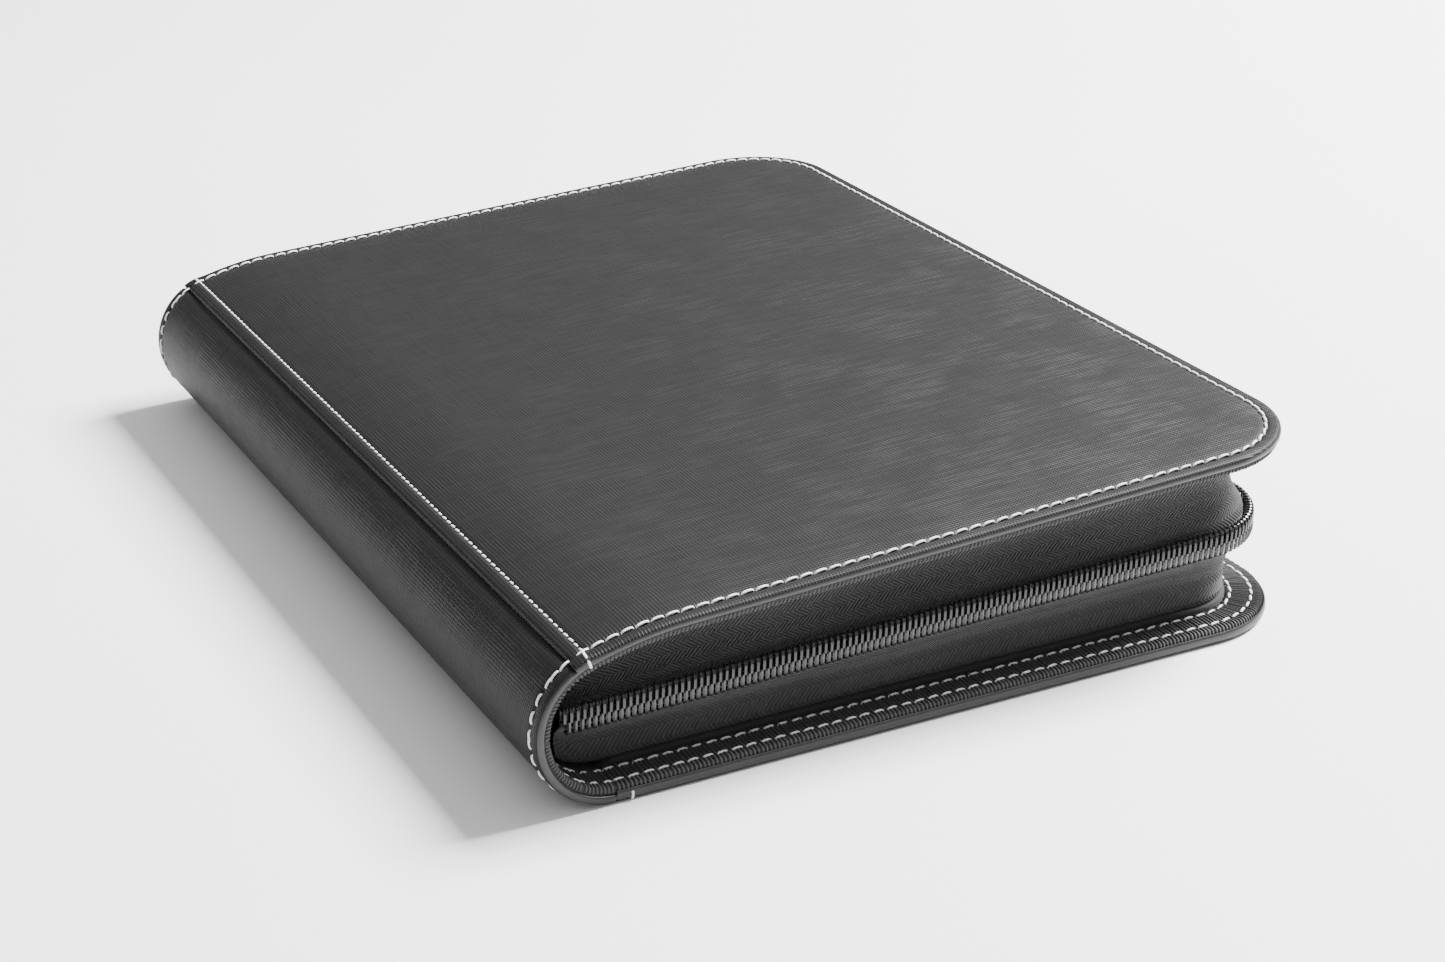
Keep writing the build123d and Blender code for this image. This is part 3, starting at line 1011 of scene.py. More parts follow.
@dataclass
class PadCloth:
    """The slack of a cover's leatherette over its foam, found by a short cloth simulation.

    A coarse sheet is pinned outside the topstitching and the seam, made slightly larger than its place,
    pressed out by a little air, and then read as a height over the plan.
    """

    shell: Shell
    left: float
    step: float = 5.0
    pinned: float = 6.5  # in from the free edges and the seam
    growth: float = 0.006
    pressure: float = 1.2
    frames: int = 16
    cap: float = 0.75  # greatest height that the slack may reach
    heights: np.ndarray | None = None
    xs: np.ndarray = field(default_factory=lambda: np.zeros(0))
    ys: np.ndarray = field(default_factory=lambda: np.zeros(0))

    def simulate(self) -> None:
        """Runs the simulation and keeps the heights."""
        s = self.shell
        self.xs = np.linspace(self.left, s.half_width, int((s.half_width - self.left) / self.step) + 1)
        self.ys = np.linspace(-s.half_length, s.half_length, int(2 * s.half_length / self.step) + 1)
        plan_x, plan_y = np.meshgrid(self.xs, self.ys, indexing="ij")
        self.heights = np.zeros_like(plan_x)
        skin = Skin()
        along = s.along_at(plan_x, Side.FRONT)
        rows = skin.add(s.place(along, plan_y, 0.0), np.zeros(3))
        skin.quads(rows)
        sheet = skin.build("pad_cloth")
        rest = np.array([v.co for v in sheet.data.vertices])
        inset = np.minimum(s.inset_at(plan_x, plan_y), plan_x - self.left)
        order = {tuple(np.round(p, 6)): i for i, p in enumerate(rest)}
        held = [order[tuple(np.round(p * MM, 6))] for p in s.place(along, plan_y, 0.0)[inset < self.pinned]]
        group = sheet.vertex_groups.new(name="held")
        group.add(held, 1.0, "REPLACE")
        cloth = sheet.modifiers.new("cloth", "CLOTH")
        cloth.settings.quality = 5
        cloth.settings.mass = 0.2
        cloth.settings.vertex_group_mass = "held"
        cloth.settings.use_pressure = True
        cloth.settings.uniform_pressure_force = self.pressure
        cloth.settings.shrink_min = -self.growth
        cloth.settings.bending_stiffness = 2.0
        cloth.settings.effector_weights.gravity = 0.0
        cloth.collision_settings.use_self_collision = False
        scene = bpy.context.scene
        for step in range(1, self.frames + 1):
            scene.frame_set(step)
        bpy.context.view_layer.update()
        done = sheet.evaluated_get(bpy.context.evaluated_depsgraph_get()).to_mesh()
        moved = np.array([v.co for v in done.vertices])
        scene.frame_set(1)
        numbers = np.array(
            [order[tuple(np.round(p * MM, 6))] for p in s.place(along, plan_y, 0.0).reshape(-1, 3)]
        )
        lift = ((moved - rest)[numbers] * s.outward(along.ravel())).sum(1) / MM
        bpy.data.objects.remove(sheet)
        lift = lift * min(1.0, self.cap / max(np.abs(lift).max(), 1e-6))
        self.heights = lift.reshape(plan_x.shape)
        log.info("pad cloth rises %.2f to %.2f mm", self.heights.min(), self.heights.max())

    def at(self, x: np.ndarray, y: np.ndarray) -> np.ndarray:
        """Heights at plan points, in millimetres.

        Args:
            x: plan X, in millimetres.
            y: plan Y, in millimetres.

        Returns:
            The heights.
        """
        if self.heights is None:
            return np.zeros_like(x)
        u = np.clip((x - self.xs[0]) / (self.xs[1] - self.xs[0]), 0, len(self.xs) - 1.001)
        v = np.clip((y - self.ys[0]) / (self.ys[1] - self.ys[0]), 0, len(self.ys) - 1.001)
        i, j = u.astype(int), v.astype(int)
        f, g = u - i, v - j
        h = self.heights
        low = h[i, j] * (1 - g) + h[i, j + 1] * g
        high = h[i + 1, j] * (1 - g) + h[i + 1, j + 1] * g
        return low * (1 - f) + high * f


@dataclass
class CoverLeather:
    """One cover's leatherette: rolled edges, a stitched border, a sewn fold and a soft middle."""

    shell: Shell
    side: Side
    left: float
    pad: PadCloth | None
    rise: float  # padding over the foam
    fold_rise: float  # the fold's stand above its neighbour
    seam: float  # from the fold to its line of stitching
    thickness: float = 1.25
    stitch_inset: float = 3.6
    stitch_pitch: float = 3.5
    seam_pitch: float = 2.5
    valley: float = 0.3
    dimple: float = 0.2
    roll: float = 1.15  # radius of the rolled edge
    lip: float = 2.0  # how far the edge is turned in
    insets: tuple[float, ...] = (
        7.5, 6.5, 5.7, 5.0, 4.6, 4.25, 4.0, 3.8, 3.6, 3.4, 3.2, 2.95, 2.6, 2.2, 1.75, 1.35, 1.0,
    )

    def face_depth(self, x: np.ndarray, y: np.ndarray, turn: np.ndarray, side_turn: np.ndarray) -> np.ndarray:
        """Depth of the outer face at plan points.

        Args:
            x: plan X.
            y: plan Y.
            turn: distance along the topstitching.
            side_turn: distance along the seam.

        Returns:
            The depth, negative where the face stands proud.
        """
        s = self.shell
        inset = s.inset_at(x, y)
        fold = np.abs(s.along_at(x, self.side) - s.along_at(self.left, self.side))
        inner = np.clip(np.minimum(inset - self.stitch_inset, fold - self.seam), 0, None)
        depth = -self.rise * (1 - np.exp(-inner / 3.0))
        lump = np.clip(0.5 + 0.5 * np.cos(2 * math.pi * turn / self.stitch_pitch), 0, 1) ** 2
        depth = depth + bell(inset - self.stitch_inset, 0.62) * (self.valley + self.dimple * lump)
        lump = np.clip(0.5 + 0.5 * np.cos(2 * math.pi * side_turn / self.seam_pitch), 0, 1) ** 2
        seam_share = np.clip((inset - 2.0) / 1.5, 0, 1)
        depth = depth + bell(fold - self.seam, 0.6) * (self.valley + self.dimple * lump) * seam_share
        edge = np.clip(1 - inset / self.roll, 0, 1)
        depth = depth + self.roll * (1 - np.sqrt(1 - edge**2))
        depth = depth - self.fold_rise * np.exp(-np.clip(fold - self.seam, 0, None) / 1.6)
        edge = np.clip(1 - fold / 1.1, 0, 1)
        depth = depth + (self.thickness - 0.2 + self.fold_rise) * (1 - np.sqrt(1 - edge**2)) * seam_share
        if self.pad is not None:
            share = np.clip((inner - 0.5) / 4.0, 0, 1)
            depth = depth - self.pad.at(x, y) * share
        return depth

    def build(self, wardrobe: Wardrobe) -> bpy.types.Object:
        """Builds the cover's leatherette.

        Args:
            wardrobe: the binder's finishes.

        Returns:
            One closed piece.
        """
        s, outline, skin = self.shell, Outline(self.shell, self.left), Skin()
        base = outline.loop(self.stitch_inset, 0.0)
        turn = np.concatenate([[0], np.cumsum(np.linalg.norm(np.diff(base, axis=0), axis=1))])
        rings, marks = [], []
        lip = [
            (0.65, 0.65, None), (0.35, 0.35, None), (0.12, 0.12, None), (0.0, 0.02, None),
            (0.0, 0.0, 0.62 * self.lip), (0.05, 0.0, 0.8 * self.lip), (0.18, 0.0, 0.93 * self.lip),
            (0.4, 0.0, self.lip), (0.62, 0.0, 0.97 * self.lip), (0.76, 0.0, 0.86 * self.lip),
            (0.78, 0.0, self.thickness + 0.05), (0.85, 0.1, self.thickness),
        ]
        profile = [(d, d, None) for d in self.insets] + lip + [
            (d, d, self.thickness) for d in self.insets[::-1]
        ]
        edge_count = len(outline.free_edge(1.0, self.left))
        for inset, offset, depth in profile:
            plan = outline.loop(inset, offset)
            x, y = plan[:, 0], plan[:, 1]
            face = self.face_depth(x, y, turn, y + s.half_length)
            if depth is not None:
                inner = np.full_like(x, depth)
                if depth > self.thickness + 1e-6:
                    inner[edge_count:] = self.thickness - 0.1
                face = inner
            along = s.along_at(x, self.side)
            rings.append(s.place(along, y, face))
            marks.append(np.stack([along, y, face], -1))
        rows = skin.add(np.array(rings), np.array(marks))
        first_lip, last_lip = len(self.insets), len(self.insets) + len(lip)
        skin.quads(rows[: first_lip + 3], closed=True)
        skin.quads(rows[first_lip + 2 : last_lip], closed=True, finish=1)
        skin.quads(rows[last_lip - 1 :], closed=True, finish=1)
        loop = outline.loop(self.insets[0], self.insets[0])
        plan, triangles = fill_plan(loop, self._inner_plan(loop))
        x, y = plan[:, 0], plan[:, 1]
        along = s.along_at(x, self.side)
        for depth, finish in ((self.face_depth(x, y, 0 * x, 0 * x), 0), (np.full_like(x, self.thickness), 1)):
            numbers = skin.add(s.place(along, y, depth), np.stack([along, y, depth], -1))
            for triangle in triangles:
                skin.polygon(numbers[triangle], finish)
        piece = skin.build(f"{self.side.value}_leatherette", wardrobe.leather, wardrobe.edge)
        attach(piece, self.side.value)
        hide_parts(f"{self.side.value}_leather", f"{self.side.value}_foam")
        return piece

    def _inner_plan(self, loop: np.ndarray, step: float = 2.6) -> np.ndarray:
        """Even plan points inside a loop, clear of it.

        Args:
            loop: the loop's plan points.
            step: distance between points.

        Returns:
            The plan points.
        """
        s = self.shell
        x = np.arange(loop[:, 0].min() + 1.3, s.half_width, step)
        y = np.arange(-s.half_length, s.half_length, step)
        grid = np.stack(np.meshgrid(x, y, indexing="ij"), -1).reshape(-1, 2)
        keep = s.inset_at(grid[:, 0], grid[:, 1]) > self.insets[0] + 0.8
        return grid[keep]


@dataclass
class EdgeLine:
    """A line that follows a cover's free edges, with the directions that repeated shapes turn to."""

    shell: Shell
    side: Side
    left: float
    inset: float
    depth: Callable[[np.ndarray], np.ndarray] | float
    start: float = 0.0  # left out at both ends

    def build(self) -> tuple[np.ndarray, np.ndarray, np.ndarray]:
        """Lays out the line.

        Returns:
            The points, the "along" directions and the outward directions.
        """
        s, outline = self.shell, Outline(self.shell, self.left)
        plan, inner = outline.free_edge(self.inset, self.left), outline.free_edge(self.inset + 1.0, self.left)
        along = s.along_at(plan[:, 0], self.side)
        depth = self.depth(along) if callable(self.depth) else self.depth
        points = s.place(along, plan[:, 1], depth)
        up = s.outward(along)
        inward = s.place(s.along_at(inner[:, 0], self.side), inner[:, 1], depth) - points
        inward /= np.linalg.norm(inward, axis=1)[:, None]
        walked = np.concatenate([[0], np.cumsum(np.linalg.norm(np.diff(points, axis=0), axis=1))])
        keep = (walked >= self.start) & (walked <= walked[-1] - self.start)
        return points[keep], np.cross(inward, up)[keep], up[keep]


def stitch_shape(
    length: float, width: float = 0.6, rise: float = 0.42, slant: float = 0.09
) -> bpy.types.Object:
    """One stitch: a thread that comes up out of a hole, lies over and goes down again.

    Args:
        length: the stitch's length.
        width: the thread's width.
        rise: how deep its ends go.
        slant: its turn from the line of stitches, as a share of its length.

    Returns:
        The stitch.
    """
    half = length / 2
    path = [
        (-half, -slant * half, -rise), (-half * 0.86, -slant * half, -0.04),
        (-half * 0.5, -slant * half / 2, 0.16),
        (0, 0, 0.2), (half * 0.5, slant * half / 2, 0.16), (half * 0.86, slant * half, -0.04),
        (half, slant * half, -rise),
    ]
    return tube("stitch_shape", path, width, width * 0.85, sides=7)


@dataclass
class Binding:
    """The ribbed tape that binds a cover's inner border, with two lines of stitches through it."""

    shell: Shell
    side: Side
    left: float
    inset: float = 0.85
    width: float = 8.95
    outer: float = 1.3
    inner: float = 3.42
    rib_pitch: float = 1.0
    rib: float = 0.75
    rib_width: float = 0.66
    stitch_insets: tuple[float, float] = (3.6, 8.6)
    stitch_pitch: float = 3.5

    def contour(self) -> list[tuple[float, float]]:
        """The band's section: (inset, depth) from its outer foot over the edge to its inner foot.

        Returns:
            The corners.
        """
        i, w, a, b = self.inset, self.width, self.outer, self.inner
        return [
            (i, a), (i - 0.02, a + 0.9), (i + 0.02, b - 0.75), (i + 0.22, b - 0.3), (i + 0.6, b - 0.05),
            (i + 1.1, b), (i + 2.0, b - 0.02), (i + 2.75, b - 0.22), (i + 3.5, b - 0.02), (i + 5.0, b),
            (i + 7.0, b - 0.02), (i + 7.75, b - 0.22),
            (i + 8.4, b - 0.08), (i + w - 0.08, b - 0.3), (i + w, a),
        ]

    def build(self, wardrobe: Wardrobe, repeater: Repeater) -> list[bpy.types.Object]:
        """Builds the band, its ribs and its stitches.

        Args:
            wardrobe: the binder's finishes.
            repeater: makes the repeated shapes.

        Returns:
            The band, the ribs and the stitches.
        """
        s, outline, skin = self.shell, Outline(self.shell, self.left, 1.2), Skin()
        points, marks = [], []
        for inset, depth in self.contour():
            plan = outline.free_edge(inset, self.left)
            along = s.along_at(plan[:, 0], self.side)
            walked = np.concatenate([[0], np.cumsum(np.linalg.norm(np.diff(plan, axis=0), axis=1))])
            points.append(s.place(along, plan[:, 1], depth))
            marks.append(np.stack([walked, np.full_like(walked, inset), np.full_like(walked, depth)], -1))
        rows = skin.add(np.array(points).swapaxes(0, 1), np.array(marks).swapaxes(0, 1))
        skin.quads(rows, closed=True)
        skin.polygon(rows[0])
        skin.polygon(rows[-1])
        side = self.side.value
        band = skin.build(f"{side}_binding_band", wardrobe.binding)
        path = [(0.0, i - self.inset, -d) for i, d in self.contour()[1:-1]]
        rib = tube("rib_shape", path, self.rib_width, self.rib, (1.0, 0.0, 0.0), 5)
        line = EdgeLine(s, self.side, self.left, self.inset, 0.0, 0.5).build()
        ribs = repeater.run(f"{side}_binding_ribs", [line], rib, self.rib_pitch, wardrobe.rib, 0.02, seed=3)
        lines = []
        for inset in self.stitch_insets:
            points, along, up = EdgeLine(s, self.side, self.left, inset, self.inner - 0.02, 1.5).build()
            lines.append((points, -along, -up))
        stitches = repeater.run(
            f"{side}_binding_stitches", lines, stitch_shape(length=2.7), self.stitch_pitch, wardrobe.thread,
            unevenness=0.05, seed=5,
        )
        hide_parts(f"{side}_binding")
        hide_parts("back_binding_stitch" if self.side is Side.BACK else "front_binding_stitch")
        for piece, slot in ((band, "binding"), (ribs, "binding"), (stitches, "thread")):
            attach(piece, side)
        return [band, ribs, stitches]


@dataclass
class CoverStitching:
    """White stitches on a cover's outer face: round its free edges, and along the seam by the spine."""

    shell: Shell
    side: Side
    left: float
    leather: CoverLeather

    def build(self, wardrobe: Wardrobe, repeater: Repeater) -> list[bpy.types.Object]:
        """Builds the topstitching, the seam's stitches and the stitches over the edge.

        Args:
            wardrobe: the binder's finishes.
            repeater: makes the repeated shapes.

        Returns:
            The pieces.
        """
        s, side = self.shell, self.side.value
        sunk = 0.0 if self.side is Side.FRONT else 0.3
        edge = EdgeLine(s, self.side, self.left, self.leather.stitch_inset, sunk, 3.0).build()
        top = repeater.run(
            f"{side}_topstitches", [edge], stitch_shape(length=3.05), self.leather.stitch_pitch,
            wardrobe.thread, unevenness=0.05, seed=7,
        )
        fold = s.along_at(self.left, self.side)
        along = fold + self.leather.seam * (1 if self.side is Side.FRONT else -1)
        y = np.linspace(-s.half_length + 4.4, s.half_length - 4.4, 200)
        points = s.place(along, y, sunk)
        up = np.broadcast_to(s.outward(along), points.shape)
        line = (points, np.broadcast_to((0.0, 1.0, 0.0), points.shape), up)
        seam = repeater.run(
            f"{side}_seam_stitches", [line], stitch_shape(length=1.8, width=0.55), self.leather.seam_pitch,
            wardrobe.thread, unevenness=0.05, seed=9,
        )
        ends = [self._wrap(along, near) for near in (True, False)]
        for end in ends:
            end.data.materials.append(wardrobe.thread)
        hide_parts(f"{side}_topstitch")
        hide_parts("back_seam_stitch" if self.side is Side.BACK else "front_seam_stitch")
        for piece in (top, seam, *ends):
            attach(piece, side)
        return [top, seam, *ends]

    def _wrap(self, along: float, near: bool) -> bpy.types.Object:
        """The seam's last stitch, which goes over the cover's edge.

        Args:
            along: place along the section, in millimetres.
            near: whether it is at the near end.

        Returns:
            The stitch.
        """
        s, lift = self.shell, 0.42 if self.side is Side.FRONT else 0.1
        over = [
            (4.1, 0.45), (3.9, -0.05), (3.0, -lift), (1.9, -lift),
            (1.0, -lift + 0.02), (0.4, 0.2), (0.05, 0.55),
            (-0.12, 1.0), (-0.08, 1.5), (0.1, 1.9), (0.5, 2.1),
        ]
        sign = -1 if near else 1
        drift = -0.5 if self.side is Side.FRONT else 0.5
        path = [s.place(along + drift * (4 - d) / 4, sign * (s.half_length - d), depth) for d, depth in over]
        name = f"{self.side.value}_{'near' if near else 'far'}_wrap_stitch"
        return tube(name, path, 0.6, 0.5, (1.0, 0.0, 0.0), 7)


@dataclass
class CoverLining:
    """The cloth that lines a cover inside its binding, turned over the board's edges."""

    shell: Shell
    side: Side
    left: float
    inset: float = 9.84
    face: float = 4.55
    cloth: float = 0.35

    def build(self, wardrobe: Wardrobe) -> bpy.types.Object:
        """Builds the lining.

        Args:
            wardrobe: the binder's finishes.

        Returns:
            A closed thin piece.
        """
        s, outline, skin = self.shell, Outline(self.shell, self.left, 1.5, 1.5), Skin()
        roll = [(0.0, 1.75), (0.02, 1.0), (0.06, 0.5), (0.16, 0.18), (0.4, 0.04), (1.0, 0.0), (2.5, 0.0)]
        profile = [(e, self.face - d) for e, d in roll]
        profile = profile[::-1] + [(e + (0.12 if e < 0.1 else 0.0), d - self.cloth) for e, d in profile]
        rings, marks = [], []
        for offset, depth in profile:
            plan = outline.loop(self.inset + offset, offset)
            along = s.along_at(plan[:, 0], self.side)
            rings.append(s.place(along, plan[:, 1], depth))
            marks.append(np.stack([along, plan[:, 1], np.full_like(along, depth)], -1))
        rows = skin.add(np.array(rings), np.array(marks))
        skin.quads(rows, closed=True)
        loop = outline.loop(self.inset + 2.5, 2.5)
        x = np.arange(loop[:, 0].min() + 2, s.half_width, 4.0)
        y = np.arange(-s.half_length, s.half_length, 4.0)
        grid = np.stack(np.meshgrid(x, y, indexing="ij"), -1).reshape(-1, 2)
        grid = grid[s.inset_at(grid[:, 0], grid[:, 1]) > self.inset + 3.5]
        plan, triangles = fill_plan(loop, grid)
        along = s.along_at(plan[:, 0], self.side)
        for depth in (self.face, self.face - self.cloth):
            numbers = skin.add(
                s.place(along, plan[:, 1], depth), np.stack([along, plan[:, 1], 0 * along], -1)
            )
            for triangle in triangles:
                skin.polygon(numbers[triangle])
        side = self.side.value
        piece = skin.build(f"{side}_lining_cloth", wardrobe.lining)
        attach(piece, side)
        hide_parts(f"{side}_lining")
        width = (s.half_width - self.inset - self.left + 3) * MM
        length = 2 * (s.half_length - self.inset + 1.5) * MM
        return piece


# ---------------------------------------------------------------- spine


@dataclass(frozen=True)
class SpineSpan:
    """A stretch of the spine from the middle of one body to the middle of the next."""

    name: str
    first: float  # along, where it begins
    last: float
    hinge: float  # the fold's angle
    bodies: tuple[str, str]
    nodes: tuple[str, ...]  # the CAD lengths that it stands for


@dataclass
class Spine:
    """The spine's leatherette, lining and bound ends, which bend from cover to cover."""

    shell: Shell
    fold_angle: float = 150.0
    bend_half: float = 8.5  # length of the bend each side of a fold, along the outer face
    tuck: float = 0.95
    leather: float = 1.25
    stiffener: float = 2.7
    cover_face: float = 4.0
    end_inset: float = 9.9
    lining_start: float = -2.95  # along, where it meets the back cover's lining
    lining_end_angle: float = 171.0  # where it meets the front cover's
    top_stitch: tuple[float, float] = (3.6, 0.12)  # inset and depth
    top_stitch_length: float = 2.6
    inner_stitch_length: float = 1.9
    inner_stitch_pitch: float = 2.6
    dip_reach: float = 1.6  # along, from a cover's fold
    groove_extra: float = 2.0  # how much wider the front cover's groove is, away from the ends
    groove_fade: float = 14.0  # length over which it narrows towards the ends
    lining_rise: float = 2.6  # length over which the lining rises to meet a cover's
    step: float = 0.8
    stitch_pitch: float = 3.5
    spans: list[SpineSpan] = field(default_factory=list)

    def __post_init__(self) -> None:
        """Lays out the four spans."""
        at = self.shell.spine_along
        back, middle, front = "spine_back", "spine_middle", "spine_front"
        fold = self.fold_angle
        self.spans = [
            SpineSpan("spine_lower_bend", 0.0, at(30), 0.0, ("back_cover", back), (back,)),
            SpineSpan("spine_lower_half", at(30), at(90), 60.0, (back, middle), (back, middle)),
            SpineSpan("spine_upper_half", at(90), at(135), 120.0, (middle, front), (middle, front)),
            SpineSpan("spine_upper_bend", at(135), at(fold), fold, (front, "front_cover"), (front,)),
        ]

    def _bend(self, piece: bpy.types.Object, span: SpineSpan) -> None:
        """Bakes a piece's transform into its mesh.

        Args:
            piece: the piece.
            span: the stretch of spine.
        """
        s, middle = self.shell, self.shell.spine_along(span.hinge)
        for along in (middle - self.bend_half, middle + self.bend_half):
            tuple(s.place(along, 0.0, 0.0) * MM)
        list(span.bodies)
        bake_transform(piece)

    def _sweep(
        self,
        span: SpineSpan,
        profile: np.ndarray,
        shift: Callable[[np.ndarray, np.ndarray], np.ndarray],
        first: float | None = None,
        last: float | None = None,
        finishes: Sequence[int] | None = None,
    ) -> Skin:
        """Sweeps a closed section along a span.

        Args:
            span: the span.
            profile: rows of (y, depth), the outer half and then the inner half in matching order.
            shift: gives the depth to add, from the place along and the profile's row numbers.
            first: where to begin, if not where the span does.
            last: where to end.
            finishes: the finish of the faces after each row.

        Returns:
            The mesh in the making.
        """
        s, skin = self.shell, Skin()
        first, last = span.first if first is None else first, span.last if last is None else last
        along = np.linspace(first, last, max(6, int((last - first) / self.step) + 1))[:, None]
        rows_at = np.arange(len(profile))[None, :]
        depth = profile[None, :, 1] + shift(along, rows_at)
        y = np.broadcast_to(profile[None, :, 0], depth.shape)
        points = s.place(along, y, depth)
        marks = np.stack([np.broadcast_to(along, depth.shape), y, depth], -1)
        rows = skin.add(points, marks)
        slots = finishes if finishes is not None else [0] * len(profile)
        count = len(profile)
        for i in range(count):
            pair = rows[:, [i, (i + 1) % count]]
            skin.quads(pair, finish=slots[i])
        half = count // 2
        for end in (rows[0], rows[-1]):
            outer, inner = end[:half], end[half:][::-1]
            for i in range(half - 1):
                skin.polygon([outer[i], outer[i + 1], inner[i + 1], inner[i]])
        return skin

    def _leather_profile(self) -> tuple[np.ndarray, list[int]]:
        """The leatherette's section across the spine, and each row's finish.

        Returns:
            Rows of (y, depth), and each row's finish.
        """
        reach = self.shell.half_length
        edge = [
            (0.78, 1.3), (0.76, 1.72), (0.62, 1.94), (0.4, 2.0),
            (0.18, 1.86), (0.05, 1.6), (0.0, 1.24), (0.0, 0.95),
            (0.12, 0.58), (0.35, 0.3), (0.65, 0.12), (1.1, 0.02),
            (1.75, 0.0), (2.4, 0.02), (2.95, 0.14), (3.3, 0.3),
            (3.6, 0.36), (3.9, 0.3), (4.25, 0.12), (4.9, 0.02), (5.7, 0.0),
        ]
        near = [(d - reach, depth) for d, depth in edge]
        middle = [(y, 0.0) for y in np.linspace(-reach + 7, reach - 7, 84)]
        far = [(reach - d, depth) for d, depth in edge[::-1]]
        outer = np.array(near + middle + far)
        inner_y = np.linspace(reach - 0.85, -reach + 0.85, len(outer))
        inner = np.stack([inner_y, np.full_like(inner_y, self.leather)], 1)
        painted = [1 if i < 9 or i > len(outer) - 11 else 0 for i in range(len(outer))] + [1] * len(inner)
        return np.concatenate([outer, inner]), painted

    def _leather_shift(self, along: np.ndarray, rows: np.ndarray) -> np.ndarray:
        """How the leatherette dips where it goes under the covers' folds.

        Args:
            along: place along the section, in millimetres.
            rows: the section's row numbers.

        Returns:
            The depth to add.
        """
        reach = self.shell.spine_along(self.fold_angle)
        near = np.clip(1 - along / self.dip_reach, 0, 1)
        profile, _ = self._leather_profile()
        wide_to = self.shell.half_length - 4.0
        wide = np.clip((wide_to - np.abs(profile[:, 0])) / self.groove_fade, 0, 1)[None, :]
        far = np.clip(1 - (reach - along) / (self.dip_reach + self.groove_extra * wide), 0, 1)
        room = np.clip((self.leather - 0.15 - profile[:, 1]) / self.leather, 0, 1)[None, :]
        outer = (rows < len(profile) // 2) * room
        groove = (1 - wide) * (1 - np.sqrt(1 - far**2)) + wide * far**1.4
        return self.tuck * (1 - np.sqrt(1 - near**2) + groove) * outer

    def _lining_profile(self) -> np.ndarray:
        """The stiffened lining's section across the spine.

        Returns:
            Rows of (y, depth).
        """
        reach = self.shell.half_length - self.end_inset
        y = np.concatenate([[-reach, -reach + 0.05, -reach + 0.3], np.linspace(-reach + 1, reach - 1, 60)])
        y = np.concatenate([y, [reach - 0.3, reach - 0.05, reach]])
        dip = np.zeros_like(y)
        dip[[0, -1]], dip[[1, -2]] = 1.2, 0.2
        outer = np.stack([y, np.full_like(y, self.leather)], 1)
        inner = np.stack([y[::-1], (self.stiffener - dip)[::-1]], 1)
        return np.concatenate([outer, inner])

    def _lining_shift(self, along: np.ndarray, rows: np.ndarray) -> np.ndarray:
        """How the lining rises to meet the covers' linings.

        Args:
            along: place along the section, in millimetres.
            rows: the section's row numbers.

        Returns:
            The depth to add.
        """
        end = self.shell.spine_along(self.lining_end_angle)
        run = self.lining_rise
        lift = np.clip((0.4 - along) / run, 0, 1) + np.clip((along - end + run) / run, 0, 1)
        lift = lift * lift * (3 - 2 * np.clip(lift, 0, 1))
        return (self.cover_face - self.stiffener) * lift * (rows >= len(self._lining_profile()) // 2)

    def _end_line(self, span: SpineSpan, near: bool, inset: float, depth: float) -> tuple[np.ndarray, ...]:
        """A line round one end of the spine, for repeated shapes.

        Args:
            span: the stretch of spine.
            near: whether it is at the near end.
            inset: distance in from the free edges.
            depth: depth below the outer face.

        Returns:
            The points, the "along" directions and the outward directions.
        """
        s = self.shell
        pitch = self.stitch_pitch
        along = np.linspace(span.first + pitch / 4, span.last - pitch / 4, 60)
        sign = -1 if near else 1
        points = s.place(along, sign * (s.half_length - inset), depth)
        up = s.outward(along)
        inward = np.broadcast_to((0.0, -sign, 0.0), points.shape)
        return points, np.cross(inward, up), up

    def build(self, wardrobe: Wardrobe, repeater: Repeater) -> list[bpy.types.Object]:
        """Builds the spine's pieces, span by span, and bakes their transforms.

        Args:
            wardrobe: the binder's finishes.
            repeater: makes the repeated shapes.

        Returns:
            Six pieces for each span.
        """
        made = []
        profile, painted = self._leather_profile()
        s = self.shell
        last_along = s.spine_along(self.lining_end_angle)
        for number, span in enumerate(self.spans):
            leather = self._sweep(span, profile, self._leather_shift, finishes=painted)
            leather = leather.build(f"{span.name}_leatherette", wardrobe.leather, wardrobe.edge)
            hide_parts(*(f"{n}_leather" for n in span.nodes))
            first = self.lining_start if number == 0 else span.first
            last = last_along if number == 3 else span.last
            lining = self._sweep(span, self._lining_profile(), self._lining_shift, first, last)
            lining = lining.build(f"{span.name}_lining_cloth", wardrobe.lining)
            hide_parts(*(f"{n}_{layer}" for n in span.nodes for layer in ("lining", "board")))
            pieces = [leather, lining, *self._ends(span, wardrobe, repeater)]
            for piece in pieces:
                self._bend(piece, span)
            made += pieces
        return made

